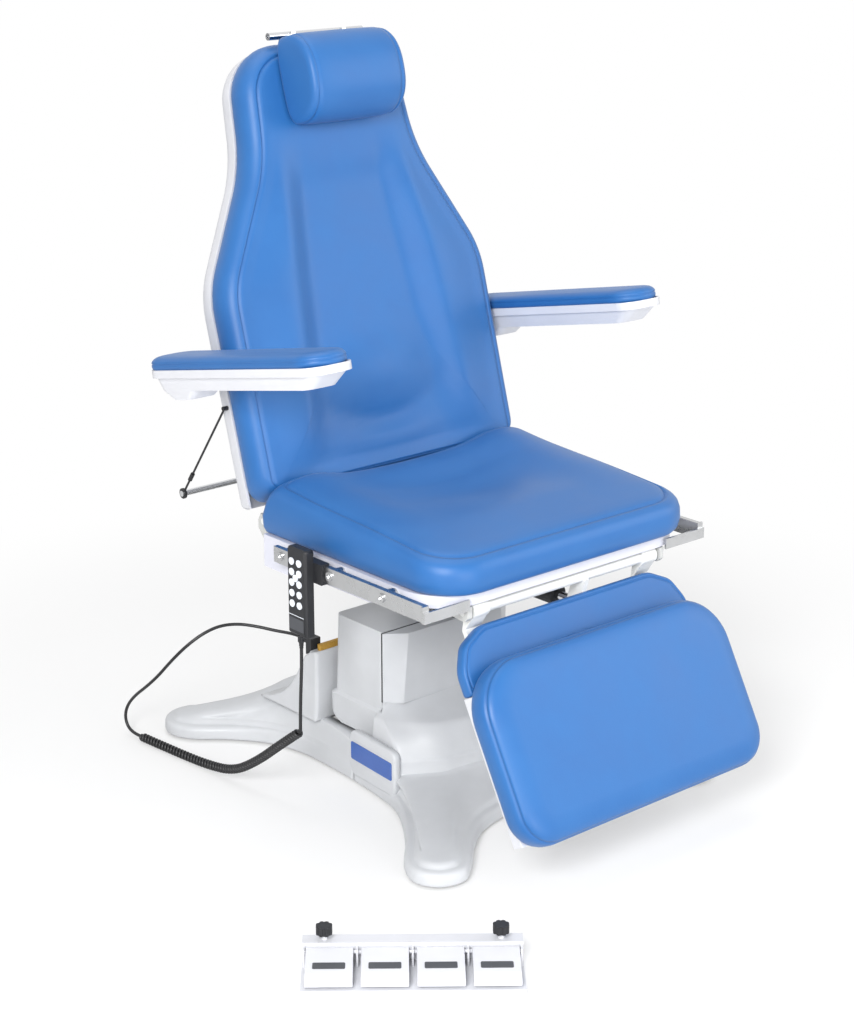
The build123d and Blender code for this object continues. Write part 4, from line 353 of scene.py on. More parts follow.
def rounded(corners: list[tuple[float, float, float]], on_edge: int = 12, on_arc: int = 14) -> Array:
    """A closed outline whose corners are arcs.

    Each corner's arc touches both its edges, and the edges between the arcs are divided evenly.

    Args:
        corners: (x, y, radius) of each corner, anticlockwise, in millimetres.
        on_edge: Points on each straight run.
        on_arc: Points on each arc.

    Returns:
        The outline's points, (K, 2).
    """
    spots = np.array([(x, y) for x, y, _ in corners], float)
    arcs = []
    for index, (_, _, radius) in enumerate(corners):
        spot, before, after = spots[index], spots[index - 1], spots[(index + 1) % len(spots)]
        way_in = (before - spot) / np.linalg.norm(before - spot)
        way_out = (after - spot) / np.linalg.norm(after - spot)
        half = math.acos(float(np.clip(way_in @ way_out, -1, 1))) / 2
        reach = radius / math.tan(half)
        bisector = (way_in + way_out) / np.linalg.norm(way_in + way_out)
        middle = spot + bisector * radius / math.sin(half)
        first, last = spot + way_in * reach - middle, spot + way_out * reach - middle
        start = math.atan2(first[1], first[0])
        sweep = (math.atan2(last[1], last[0]) - start + math.pi) % (2 * math.pi) - math.pi
        angles = start + sweep * np.linspace(0, 1, on_arc)
        arcs.append(middle + radius * np.stack([np.cos(angles), np.sin(angles)], 1))
    runs = []
    for index, arc in enumerate(arcs):
        following = arcs[(index + 1) % len(arcs)]
        share = np.linspace(0, 1, on_edge + 2)[1:-1, None]
        runs += [arc, arc[-1] * (1 - share) + following[0] * share]
    return np.concatenate(runs)


def drawn_in(outline: Array, inset: Array | float) -> Array:
    """Moves each point of an anticlockwise outline inwards along its normal.

    Args:
        outline: The outline, (K, 2).
        inset: How far, in millimetres.

    Returns:
        The new outline.
    """
    along = np.roll(outline, -1, 0) - np.roll(outline, 1, 0)
    along /= np.linalg.norm(along, axis=1)[:, None]
    return outline + np.stack([-along[:, 1], along[:, 0]], 1) * np.reshape(inset, (-1, 1))


def mesh_piece(name: str, points: Array, faces: list[list[int]], smooth: bool = True) -> bpy.types.Object:
    """Makes a mesh object from points in the row frame and its faces.

    Args:
        name: The piece's name.
        points: Positions in metres, (N, 3).
        faces: Lists of point numbers.
        smooth: Whether its faces are shaded smooth.

    Returns:
        The object, linked to the scene.
    """
    mesh = bpy.data.meshes.new(name)
    mesh.from_pydata(points.tolist(), [], faces)
    mesh.validate()
    mesh.polygons.foreach_set("use_smooth", np.full(len(mesh.polygons), smooth))
    mesh.update()
    piece = bpy.data.objects.new(name, mesh)
    bpy.context.scene.collection.objects.link(piece)
    return piece


def ring_faces(rows: int, count: int) -> list[list[int]]:
    """Quads between the rows of a grid whose rows are closed rings.

    Args:
        rows: How many rings there are.
        count: Points in each ring.

    Returns:
        The faces.
    """
    row, spot = np.meshgrid(np.arange(rows - 1), np.arange(count), indexing="ij")
    after, above = (spot + 1) % count, row + 1
    quads = np.stack([row * count + spot, row * count + after, above * count + after, above * count + spot], -1)
    return quads.reshape(-1, 4).tolist()


def ringed(
    name: str, plane: Plane, rings: list[Array], hub: tuple[float, float], top: Callable[[Array], Array]
) -> bpy.types.Object:
    """A closed pad made of rings: from its flat underside up its sides, over the rim and in to a hub.

    Past the last ring each point runs straight to the hub, and its height is a function of where
    it is, so that the face of the pad can be crowned or hollowed.

    Args:
        name: The piece's name.
        plane: Its working plane.
        rings: Rings of (K, 3) local millimetres, the underside's edge first.
        hub: Where each point's run ends, in the plane.
        top: The face's height over the plane at (N, 2) positions.

    Returns:
        The pad.
    """
    count = len(rings[0])
    last = rings[-1]
    centre = np.tile(hub, (count, 1))
    stack = list(rings)
    # the rim's own height dies away over the face as the cube of the way that is left
    lift = last[:, 2] - top(last[:, :2])
    for share in np.linspace(0, 1, FACE_RINGS + 2)[1:-1]:
        flat = last[:, :2] * (1 - share) + centre * share
        stack.append(np.column_stack([flat, top(flat) + lift * (1 - share) ** 3]))
    under = [
        np.column_stack([rings[0][:, :2] * (1 - share) + centre * share, rings[0][:, 2]]) for share in UNDER_SHARES
    ]
    grid = np.stack(under + stack)
    faces = ring_faces(len(grid), count)
    points = plane.place(grid.reshape(-1, 3))
    first_ring, last_ring = np.arange(count), (len(grid) - 1) * count + np.arange(count)
    lids = []
    for ring, heights in ((first_ring, under[0]), (last_ring, stack[-1])):
        middle = np.append(centre.mean(0), heights[:, 2].mean())
        points = np.vstack([points, plane.place(middle[None])])
        pairs = np.stack([ring, np.roll(ring, -1), np.full(count, len(points) - 1)], 1)
        lids += (pairs[:, ::-1] if ring is first_ring else pairs).tolist()
    return mesh_piece(name, points, faces + lids)


def tube(name: str, line: Array, radius: Array | float, hint: Array, sides: int = 12) -> bpy.types.Object:
    """A round tube along a line: circles square to its course, with flat closed ends.

    Args:
        name: The piece's name.
        line: Points of its centre in metres, (K, 3).
        radius: Its radius in metres, one number or one for each point.
        hint: A direction that is nowhere along the line, (3,) or (K, 3).
        sides: Points round it.

    Returns:
        The tube.
    """
    course = np.gradient(line, axis=0)
    course /= np.linalg.norm(course, axis=1)[:, None]
    hint = np.broadcast_to(hint, line.shape)
    side = hint - course * np.sum(hint * course, 1)[:, None]
    side /= np.linalg.norm(side, axis=1)[:, None]
    other = np.cross(course, side)
    angle = np.linspace(0, 2 * math.pi, sides, endpoint=False)
    size = np.broadcast_to(radius, (len(line),))[:, None, None]
    circle = side[:, None] * np.cos(angle)[None, :, None] + other[:, None] * np.sin(angle)[None, :, None]
    points = (line[:, None] + size * circle).reshape(-1, 3)
    faces = ring_faces(len(line), sides)
    faces += [list(range(sides))[::-1], list(range((len(line) - 1) * sides, len(line) * sides))]
    return mesh_piece(name, points, faces)


def spline(route: list[tuple[float, float, float]]) -> bpy.types.Curve:
    """Makes a smooth open NURBS line of order 3.

    Args:
        route: Its control points in millimetres.

    Returns:
        The curve, in metres.
    """
    curve = bpy.data.curves.new("line", "CURVE")
    curve.dimensions = "3D"
    curve.resolution_u = 12
    made = curve.splines.new("NURBS")
    made.points.add(len(route) - 1)
    flat = np.column_stack([np.array(route) * MM, np.ones(len(route))])
    made.points.foreach_set("co", flat.ravel())
    made.order_u = 3
    made.use_endpoint_u = True
    return curve


def traced(route: list[tuple[float, float, float]]) -> Array:
    """Reads the points of a route's NURBS line.

    Args:
        route: The line's control points in millimetres.

    Returns:
        Points along the line in metres, (K, 3).
    """
    curve = spline(route)
    holder = bpy.data.objects.new("line", curve)
    bpy.context.scene.collection.objects.link(holder)
    mesh = bpy.data.meshes.new_from_object(holder.evaluated_get(bpy.context.evaluated_depsgraph_get()))
    line = np.zeros(len(mesh.vertices) * 3)
    mesh.vertices.foreach_get("co", line)
    bpy.data.objects.remove(holder)
    bpy.data.curves.remove(curve)
    bpy.data.meshes.remove(mesh)
    return line.reshape(-1, 3)


def even(line: Array, count: int) -> Array:
    """Spaces points evenly along a line.

    Args:
        line: The line's own points, (K, 3).
        count: How many points are wanted.

    Returns:
        The new points, (count, 3).
    """
    run = np.append(0, np.cumsum(np.linalg.norm(np.diff(line, axis=0), axis=1)))
    spots = np.linspace(0, run[-1], count)
    return np.stack([np.interp(spots, run, line[:, axis]) for axis in range(3)], 1)


def ramp(value: Array, start: float, length: float) -> Array:
    """Rises from 0 to 1 with flat ends: three squares of the share covered, less two cubes of it.

    Args:
        value: What the ramp depends on.
        start: Where it leaves 0.
        length: How far on it reaches 1.

    Returns:
        The height of the ramp at each value.
    """
    share = np.clip((value - start) / length, 0, 1)
    return share * share * (3 - 2 * share)


def at_height(flat: Array, height: float) -> Array:
    """Lifts a plan's points, (K, 2), to one height."""
    return np.column_stack([flat, np.full(len(flat), float(height))])


@dataclass(frozen=True)
class Swell:
    """A soft bump or furrow across a cushion, in millimetres.

    Fields: height is its rise in the middle, at its place along the cushion, long and wide how far
    it reaches along and across, and bow the width at which its ends have moved on by the square.
    """

    height: float
    at: float
    long: float
    wide: float
    bow: float = math.inf

    def over(self, across: Array, along: Array) -> Array:
        """Its rise: a bell curve along the cushion times a bell curve across it.

        Args:
            across: Distances from the cushion's middle line.
            along: Distances along the cushion.

        Returns:
            The rise at each place.
        """
        middle = self.at + (across / self.bow) ** 2
        return self.height * np.exp(-(((along - middle) / self.long) ** 2) - (across / self.wide) ** 2)


@dataclass
class Seat:
    """The seat cushion: pulled-in foot, full sides, a sewn seam inside its rim and a dish from the rear.

    All its places are in millimetres over the floor and from the row's middle.
    """

    half: float = 300.0
    front: float = -372.0
    rear: float = 136.0
    corner: float = 85.0
    rear_corner: float = 16.0
    foot: float = 483.0
    # the rim climbs evenly to the rear
    rim_front: float = 540.0
    rim_climb: float = 26.0
    rim_start: float = -352.0
    rim_run: float = 464.0
    crown: float = 15.0
    # the dish is deeper under the thighs than at the back's foot, and the sides stand up beside it
    dish: float = 28.0
    dish_rear: float = 8.0
    dish_wide: float = 165.0
    side: float = 9.0
    side_rear: float = 13.0
    side_at: float = 222.0
    side_wide: float = 58.0
    hub: tuple[float, float] = (0.0, -110.0)
    # share of the rim's height, inset at the front and the sides, inset at the rear
    profile: Table = (
        (0.0, 12, 14), (0.04, 6, 13), (0.14, 1.5, 12.5), (0.4, -2.0, 15), (0.7, -1.0, 25), (0.88, 2.0, 33),
        (0.97, 6, 39), (1.02, 10, 43), (1.06, 15, 48), (1.085, 19, 52), (1.03, 21, 54), (1.03, 22.2, 55.2),
        (1.10, 24, 57), (1.14, 30, 63), (1.17, 40, 74), (1.185, 60, 95),
    )

    def rim_height(self, along: Array) -> Array:
        """The rim's height over the floor: it rises evenly to the rear."""
        return self.rim_front + self.rim_climb * (along - self.rim_start) / self.rim_run

    def plan(self, inset: float, rear_draw: float) -> Array:
        """The cushion's plan at one height: a rectangle with round front corners.

        Args:
            inset: How far its front and sides are drawn in.
            rear_draw: How far its rear is drawn in.

        Returns:
            The plan's points, (K, 2).
        """
        low, high = self.front + inset, self.rear - rear_draw
        half, corner, heel = self.half - inset, self.corner - inset / 2, self.rear_corner
        return rounded([(-half, low, corner), (half, low, corner), (half, high, heel), (-half, high, heel)], 26, 16)

    def sink(self, flat: Array) -> Array:
        """How far the face lies below the rim's slope: a bell curve across, less one over each side.

        Args:
            flat: Places in plan, (N, 2).

        Returns:
            The depth at each place; it is negative where the sides stand up.
        """
        across, along = np.abs(flat[:, 0]), flat[:, 1]
        rear = ramp(along, -20, 95)
        dish = np.exp(-((across / self.dish_wide) ** 2)) * ramp(along, -235, 175)
        side = np.exp(-(((across - self.side_at) / self.side_wide) ** 2)) * ramp(along, -320, 200)
        depth = self.dish + (self.dish_rear - self.dish) * rear
        stand = self.side + (self.side_rear - self.side) * rear
        return depth * dish - stand * side

    def face(self, flat: Array) -> Array:
        """The face's height: the rim's slope, a soft crown and the dish."""
        return self.rim_height(flat[:, 1]) + self.crown - self.sink(flat)

    def build(self, wear: Wardrobe) -> None:
        """Args:
            wear: The finishes.
        """
        rings = []
        for share, inset, rear_draw in self.profile:
            flat = self.plan(inset, rear_draw)
            rise = share * (self.rim_height(flat[:, 1]) - self.foot) - min(share, 1.0) ** 3 * self.sink(flat)
            rings.append(np.column_stack([flat, self.foot + rise]))
        wear.upholster(ringed("seat_pad", LEVEL, rings, self.hub, self.face), "seat", "seat_cushion")


@dataclass
class Back:
    """The back cushion with side bolsters, a lumbar swell and a sewn seam.

    Its places are in millimetres across and up the back's plane, and out of it.
    """

    half: float = 303.0
    shoulder: float = 190.0
    crown: float = 172.0
    elbow_up: float = 415.0
    shoulder_up: float = 625.0
    top: float = 826.0
    surface: float = 71.0
    hollow: float = 27.0
    bolster: float = 14.0
    lumbar: Swell = Swell(20.0, 228.0, 60.0, 125.0)
    roll: Swell = Swell(11.0, 96.0, 24.0, 150.0)
    crease: Swell = Swell(8.0, 136.0, 17.0, 120.0, bow=19.0)
    # how far up, and how far from the middle the bolsters start there
    channel: Table = ((60, 168), (170, 158), (300, 145), (420, 135), (560, 120), (640, 112), (700, 104))
    hub: tuple[float, float] = (0.0, 430.0)
    # height over the plane, inset, how far up the lower edge lies
    profile: Table = (
        (8.5, 9, 33), (11, 4, 33), (18, 0.5, 33), (30, -2, 37), (44, -1.5, 42), (55, 2, 46), (62, 7, 50),
        (66, 12, 52), (68, 16, 54), (68.5, 18.5, 55), (65.5, 20.2, 55), (65.5, 21.2, 55), (69, 23, 56),
        (70.5, 30, 58), (71, 42, 60),
    )

    def plan(self, inset: float, bottom: float) -> Array:
        """The back's outline: straight sides, sloping shoulders and a narrow crown.

        Args:
            inset: How far it is drawn in.
            bottom: How far up its lower edge lies before that.

        Returns:
            The outline's points, (K, 2).
        """
        outline = rounded(
            [
                (-self.half, bottom, 40), (self.half, bottom, 40), (self.half, self.elbow_up, 180),
                (self.shoulder, self.shoulder_up, 260), (self.crown, self.top, 95), (-self.crown, self.top, 95),
                (-self.shoulder, self.shoulder_up, 260), (-self.half, self.elbow_up, 180),
            ],
            12, 12,
        )
        return drawn_in(outline, inset)

    def depth(self, flat: Array) -> Array:
        """How far the face is hollowed: ramps shape a channel between bolsters, and swells fill or furrow it.

        Args:
            flat: Places on the plane, (N, 2).

        Returns:
            The depth at each place; it is negative on the bolsters.
        """
        across, along = np.abs(flat[:, 0]), flat[:, 1]
        reach = np.interp(
            along, [0, self.elbow_up, self.shoulder_up, self.top], [self.half, self.half, self.shoulder, self.crown]
        )
        proud = ramp(reach - across, 16, 110) * ramp(along, 60, 90) * (1 - ramp(along, 590, 95))
        edge = np.interp(along, *np.array(self.channel, float).T)
        inside = 1 - ramp(across - edge, -34, 68)
        window = ramp(along, 30, 60) * (1 - ramp(along, 560, 130))
        fill = self.lumbar.over(across, along) + self.roll.over(across, along)
        channel = inside * window * (self.hollow - fill)
        return channel + self.crease.over(across, along) - self.bolster * proud

    def face(self, flat: Array) -> Array:
        """The face's height: the hollow, and laid back a little at the crown."""
        return self.surface - self.depth(flat) - 3 * ramp(flat[:, 1], 660, 120)

    def build(self, wear: Wardrobe) -> None:
        """Args:
            wear: The finishes.
        """
        rings = [at_height(self.plan(inset, bottom - inset), height) for height, inset, bottom in self.profile]
        wear.upholster(ringed("back_pad", BACK, rings, self.hub, self.face), "back", "back_cushion")


@dataclass
class Pillow:
    """The headrest pillow: a D-shaped section carried across it, with a sewn seam near each end.

    Its places are in millimetres across and up the back's plane, and out of it.
    """

    middle: float = 755.5
    half: float = 79.5
    rear: float = 72.0
    deep: float = 98.0
    reach: float = 107.0
    core_share: float = 0.31
    points: int = 72
    # how far along one half, and the section's size there: a furrow at the seam, then the rounded end
    stations: Table = (
        (0.0, 1.005), (0.3, 1.003), (0.6, 1.0), (0.8, 0.993), (0.855, 0.98), (0.87, 0.955), (0.885, 0.955),
        (0.90, 0.972), (0.93, 0.965), (0.965, 0.935), (0.99, 0.88), (1.0, 0.80), (1.0, 0.70),
    )

    def section(self) -> tuple[Array, Array]:
        """The D: a superellipse whose rear half is flattened against the back.

        Returns:
            How far up and how far out each of its points lies, as shares of its half size.
        """
        turn = np.linspace(0, 2 * math.pi, self.points, endpoint=False)
        up = np.sign(np.sin(turn)) * np.abs(np.sin(turn)) ** 0.85
        out = np.cos(turn)
        return up, np.where(out > 0, out**0.9, -np.abs(out) ** 0.35 * 0.45)

    def build(self, wear: Wardrobe) -> None:
        """Args:
            wear: The finishes.
        """
        up, out = self.section()
        core = self.rear + self.deep * self.core_share
        half_deep = self.deep * (1 - self.core_share)
        stations = [(-across, size) for across, size in self.stations[:0:-1]] + list(self.stations)
        grid = np.stack([
            np.column_stack([
                np.full(self.points, self.reach * across), self.middle + self.half * size * up,
                np.maximum(core + half_deep * size * out, self.rear + 3 * (1 - size)),
            ])
            for across, size in stations
        ])
        points = BACK.place(grid.reshape(-1, 3))
        faces = ring_faces(len(grid), self.points)
        # a shallow cone closes each end
        for first, side in ((0, -1.0), ((len(grid) - 1) * self.points, 1.0)):
            tip = np.array([[self.reach * side * 1.01, self.middle, core + 14]])
            points = np.vstack([points, BACK.place(tip)])
            ring = first + np.arange(self.points)
            fan = np.stack([ring, np.roll(ring, -1), np.full(self.points, len(points) - 1)], 1)
            faces += (fan[:, ::-1] if side < 0 else fan).tolist()
        wear.upholster(mesh_piece("headrest_pillow", points, faces), "headrest", "headrest_cushion")


@dataclass
class Arms:
    """The two armrest pads, each a long pad with a round front and a seam round its side."""

    middle: float = 361.0
    half: float = 49.0
    front: float = -425.0
    rear: float = 62.0
    rim: float = 35.0
    top: float = 24.0
    # height over the moulding's rim, inset
    profile: Table = (
        (-5, 3.6), (-0.2, 3.6), (1.2, 1.9), (5, 0.9), (8.5, 0.9), (9.6, 2.1), (10.6, 2.1), (11.8, 0.9), (15, 2.2),
        (18.5, 5.5), (21, 10), (22.3, 16), (23, 24),
    )

    def plan(self, centre: float, inset: float) -> Array:
        """A pad's plan: a long rectangle with a nearly half-round front.

        Args:
            centre: Where its middle line lies.
            inset: How far it is drawn in.

        Returns:
            The plan's points, (K, 2).
        """
        half, low, high = self.half - inset, self.front + inset, self.rear - inset
        corner, tip = 34 - inset * 0.6, half * 0.93
        flat = rounded([(-half, low, tip), (half, low, tip), (half, high, corner), (-half, high, corner)], 20, 10)
        return flat + np.array([centre, 0.0])

    def face(self, flat: Array) -> Array:
        """A level face."""
        return np.full(len(flat), self.rim + self.top)

    def build(self, wear: Wardrobe) -> None:
        """Builds both pads and covers each in vinyl on its arm.

        Args:
            wear: The finishes.
        """
        for side, hand in ((1, "left"), (-1, "right")):
            centre = side * self.middle
            rings = [at_height(self.plan(centre, inset), self.rim + height) for height, inset in self.profile]
            pad = ringed(f"arm_pad_soft_{hand}", ARM, rings, (centre, (self.front + self.rear) / 2), self.face)
            wear.upholster(pad, f"arm_{hand}", f"arm_pad_{hand}")


@dataclass
class LegRest:
    """The leg rest's cushion and the upholstered flap above it, in millimetres on the leg rest's plane."""

    half: float = 288.0
    upper: float = -92.0
    lower: float = -401.0
    hub: tuple[float, float] = (0.0, -246.0)
    surface: float = 58.0
    # height over the plane, inset
    profile: Table = (
        (-2.3, 8), (0, 4.5), (6, 1), (16, -1), (28, -1), (36, 0.5), (39.5, 3), (40.6, 5.4), (41.8, 5.6), (43.5, 3.4),
        (47, 6), (50.5, 10), (53, 16), (55.5, 26), (57.5, 40),
    )
    flap_hub: tuple[float, float] = (0.0, -86.0)
    flap_surface: float = -2.4
    flap_corners: Table = (
        (-268, -135, 6), (268, -135, 6), (268, -92, 60), (246, -50, 36), (200, -27, 60), (-200, -27, 60),
        (-246, -50, 36), (-268, -92, 60),
    )
    flap_profile: Table = (
        (-24, 3), (-22.5, 1), (-18, 0.2), (-9, 0.2), (-5, 2), (-3.2, 3.6), (-2.6, 7.2), (-4.4, 8.4), (-4.4, 9.24),
        (-2.6, 10.44), (-2.4, 13.2),
    )

    def face(self, flat: Array) -> Array:
        """The cushion's face: two bell curves swell it towards its middle."""
        away = (flat[:, 0] / 190) ** 2 + ((flat[:, 1] - self.hub[1]) / 110) ** 2
        return self.surface + 1.5 * np.exp(-away)

    def flap_face(self, flat: Array) -> Array:
        """The flap's level face."""
        return np.full(len(flat), self.flap_surface)

    def build(self, wear: Wardrobe) -> None:
        """Args:
            wear: The finishes.
        """
        outline = rounded(
            [
                (-self.half, self.lower, 60), (self.half, self.lower, 60), (self.half, self.upper, 92),
                (-self.half, self.upper, 92),
            ],
            18, 14,
        )
        rings = [at_height(drawn_in(outline, inset), height) for height, inset in self.profile]
        wear.upholster(ringed("leg_pad", LEG, rings, self.hub, self.face), "leg", "leg_cushion")
        outline = rounded(list(self.flap_corners), 8, 8)
        rings = [at_height(drawn_in(outline, inset), height) for height, inset in self.flap_profile]
        flap = ringed("leg_flap_soft", LEG, rings, self.flap_hub, self.flap_face)
        wear.upholster(flap, "leg", "leg_flap")


@dataclass
class Base:
    """The base's mouldings: four flared feet that rise to a banded tower and a rear deck with its crest.

    Each row of the outline pairs a point on the floor with the point of the tower or deck that the
    moulding climbs to, for the right half; the left half mirrors it.
    """

    rear_half: Table = (
        (182, 14, 178, 14), (178, 90, 171, 90), (179, 165, 166, 150), (199, 240, 163, 200), (245, 303, 160, 240),
        (301, 356, 156, 272), (320, 404, 152, 292), (298, 447, 144, 306), (255, 460, 132, 316), (214, 437, 117, 323),
        (164, 385, 96, 328), (97, 346, 60, 331),
    )
    front_half: Table = (
        (126, -292, 50, -184), (199, -338, 85, -177), (257, -393, 112, -168), (294, -415, 130, -158),
        (337, -403, 146, -146), (358, -364, 160, -134), (342, -318, 172, -121), (292, -262, 181, -104),
        (244, -198, 185, -82), (206, -128, 185, -56), (189, -48, 182, -28),
    )
    wall: float = 3.5
    split: float = 14.0
    split_gap: float = 1.8
    # height, inset: up the foot's edge and in over its ledge
    edge: Table = (
        (5, 3), (6.5, 1), (10, 0), (21, 0.5), (25, 2), (28, 5), (29.5, 9), (30, 14), (30.8, 17), (34, 20), (37, 24),
        (38.5, 30),
    )
    front_goal: float = 66.0
    rear_goal: float = 84.0
    # height, how much wider at the split, at the corners, the corners' place, the front's place
    tower_rows: Table = (
        (46, 8, 8, -118, -190), (58, 8, 8, -118, -191), (62, 7, 7, -118, -190), (64.5, 4.5, 4.5, -118, -187),
        (66, 3.5, 3.5, -118, -185), (84, 3, 3, -118, -184), (88, 2.5, 2.5, -118, -183.5), (91, 0.8, 0.8, -117, -181),
        (92.5, 0, 0, -116, -179), (112, -1, -2, -112, -177), (132, -3, -10, -84, -169), (141, -4, -15, -66, -164),
        (145, -6, -18, -60, -160), (147, -9, -21, -57, -154), (150, -14, -25, -52, -138), (157, -21, -32, -46, -101),
        (163, -26, -37, -43, -70), (166, -29, -40, -42, -62), (167, -34, -46, -42, -58),
    )
    # height, how much wider than the lip, the back's place
    crest_rows: Table = (
        (84, 6, 296), (88, 5, 288), (95, 4, 262), (110, 2.5, 232), (130, 1.5, 210), (150, 1, 195), (175, 0.5, 180),
        (202, 0, 165), (213, 0, 151), (217, 1, 147), (219, 2.5, 144), (220, 5, 141),
    )
    crest_half: float = 177.0
    crest_front: float = 124.0
    # the raised panels on the tower's sides, which flare by a tenth over their run
    flare_out: float = 10.0
    flare_run: float = 132.0
    panel_reach: float = 191.5
    panel_back: float = 72.0

    def star(self) -> tuple[Array, Array]:
        """The floor outline and its partner on the tower, as closed smooth curves through the table.

        Returns:
            The two outlines, (K, 2) each, anticlockwise from the right waist.
        """
        rear, front = np.array(self.rear_half, float), np.array(self.front_half, float)
        flip = np.array([-1, 1, -1, 1])
        table = np.concatenate([
            rear, [[0, 339, 0, 333]], (rear * flip)[::-1], (front * flip)[::-1], [[0, -274, 0, -187]], front,
        ])
        before, after, later = np.roll(table, 1, 0), np.roll(table, -1, 0), np.roll(table, -2, 0)
        share = (np.arange(8) / 8)[None, :, None]
        # Catmull-Rom: a cubic through each pair of points whose slopes come from their neighbours
        points = 0.5 * (
            2 * table[:, None]
            + (after - before)[:, None] * share
            + (2 * before - 5 * table + 4 * after - later)[:, None] * share**2
            + (3 * table - before - 3 * after + later)[:, None] * share**3
        )
        flat = points.reshape(-1, 4)
        return flat[:, :2], flat[:, 2:]

    def skirt(self) -> Array:
        """The feet and the flare: up the foot's edge, over its ledge, then a power curve up to the tower.

        Returns:
            The rings, (rows, K, 3).
        """
        floor, partner = self.star()
        run = np.linalg.norm(floor - partner, axis=1)
        room = np.clip((run - 8) / 110, 0.02, 1)
        goal = self.front_goal + (self.rear_goal - self.front_goal) * ramp(partner[:, 1], -60, 160)
        rings = []
        for height, inset in self.edge:
            flat = drawn_in(floor, inset * room)
            # beside the tower there is no room for the ledge, and the wall runs straight up
            rings.append(np.column_stack([flat, height + (1 - room) * (height - self.edge[0][0]) * 0.25]))
        first = rings[-1]
        for share in np.linspace(0, 1, 17)[1:]:
            flat = first[:, :2] * (1 - share) + partner * share
            rise = share**1.2 * (1 - 0.15 * np.sin(math.pi * share) * room)
            rings.append(np.column_stack([flat, first[:, 2] * (1 - rise) + goal * rise]))
        # a lid that dips under the tower and the crest, which stand in it
        well = np.column_stack([np.clip(partner[:, 0], -146, 146), np.clip(partner[:, 1] - 40, -78, 92) + 32])
        for share, lift in ((0.02, 1.4), (0.05, 2.0), (1.0, 2.0)):
            flat = partner * (1 - share) + well * share
            rings.append(np.column_stack([flat, goal * (1 - share) + self.rear_goal * share + lift]))
        return np.stack(rings)

    def half_of(self, name: str, grid: Array, front: bool) -> bpy.types.Object:
        """Cuts the skirt at the split and keeps one half, with its wall's thickness.

        Args:
            name: The piece's name.
            grid: The skirt's rings.
            front: Whether the front half is kept.

        Returns:
            The half.
        """
        piece = mesh_piece(name, grid.reshape(-1, 3) * MM, ring_faces(len(grid), grid.shape[1]))
        work = bmesh.new()
        work.from_mesh(piece.data)
        rearward = 1 if front else -1
        cut = (self.split - rearward * self.split_gap / 2) * MM
        bmesh.ops.bisect_plane(
            work, geom=work.verts[:] + work.edges[:] + work.faces[:], plane_co=(0, cut, 0),
            plane_no=(0, rearward, 0), clear_outer=True,
        )
        work.to_mesh(piece.data)
        work.free()
        solid = piece.modifiers.new("wall", "SOLIDIFY")
        solid.thickness, solid.offset = self.wall * MM, -1.0
        return piece

    def tower(self) -> bpy.types.Object:
        """The banded tower: rounded plans that step in at three ledges and lean back to the mast's foot.

        Returns:
            The tower.
        """
        rings = []
        for height, side, corner, corner_y, front in self.tower_rows:
            cheek_y = (front + corner_y) / 2 + (front - corner_y) * 0.24
            plan = rounded(
                [
                    (178 + side, -34, 5), (-178 - side, -34, 5), (-188 - corner, corner_y, 16), (-118, cheek_y, 90),
                    (0, front, 260), (118, cheek_y, 90), (188 + corner, corner_y, 16),
                ],
                8, 8,
            )
            rings.append(at_height(plan, height))
        top = float(self.tower_rows[-1][0])
        return ringed("base_tower", LEVEL, rings, (0.0, -46.0), lambda flat: np.full(len(flat), top))

    def crest(self) -> bpy.types.Object:
        """The rear crest: a tall rounded lip whose back sweeps down in a hollow curve to the deck.

        Returns:
            The crest.
        """
        rings = []
        for height, grow, back in self.crest_rows:
            half, front = self.crest_half + grow, self.crest_front + max(height - 215, 0) * 0.7
            plan = rounded([(-half, front, 7), (half, front, 7), (half, back, 8), (-half, back, 8)], 30, 8)
            rings.append(at_height(plan, height))
        top = float(self.crest_rows[-1][0])
        return ringed("base_crest", LEVEL, rings, (0.0, 133.0), lambda flat: np.full(len(flat), top))

    def panel(self, hand: str, side: int) -> bpy.types.Object:
        """A raised panel with soft edges on one flared side of the tower.

        Args:
            hand: The side's name.
            side: 1 for the sitter's left and -1 for the right.

        Returns:
            The panel.
        """
        flare = math.atan2(self.flare_out, self.flare_run)
        reach = self.panel_reach + self.flare_out * self.panel_back / self.flare_run
        face = Plane(
            (side * reach * MM, -0.058, 0.068), (side * math.sin(flare), -math.cos(flare), 0.0), (0.0, 0.0, 1.0)
        )
        thick = 16
        inwards = -math.copysign(thick / 2, face.out()[0] * side)
        return bar(f"base_panel_{hand}", face, (140, 88, thick), (0, 0, inwards), 16, 4.5)

    def build(self, wear: Wardrobe) -> None:
        """Builds the base's mouldings and their side panels.

        Args:
            wear: The finishes.
        """
        grid = self.skirt()
        front = self.half_of("base_front_feet", grid, True)
        rear = self.half_of("base_rear_feet", grid, False)
        for piece in (front, rear, self.tower(), self.crest(), self.panel("left", 1), self.panel("right", -1)):
            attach(wear.dress(piece, Finish.COVER), "base")
        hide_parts("front_base_cover")
        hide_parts("rear_base_cover")


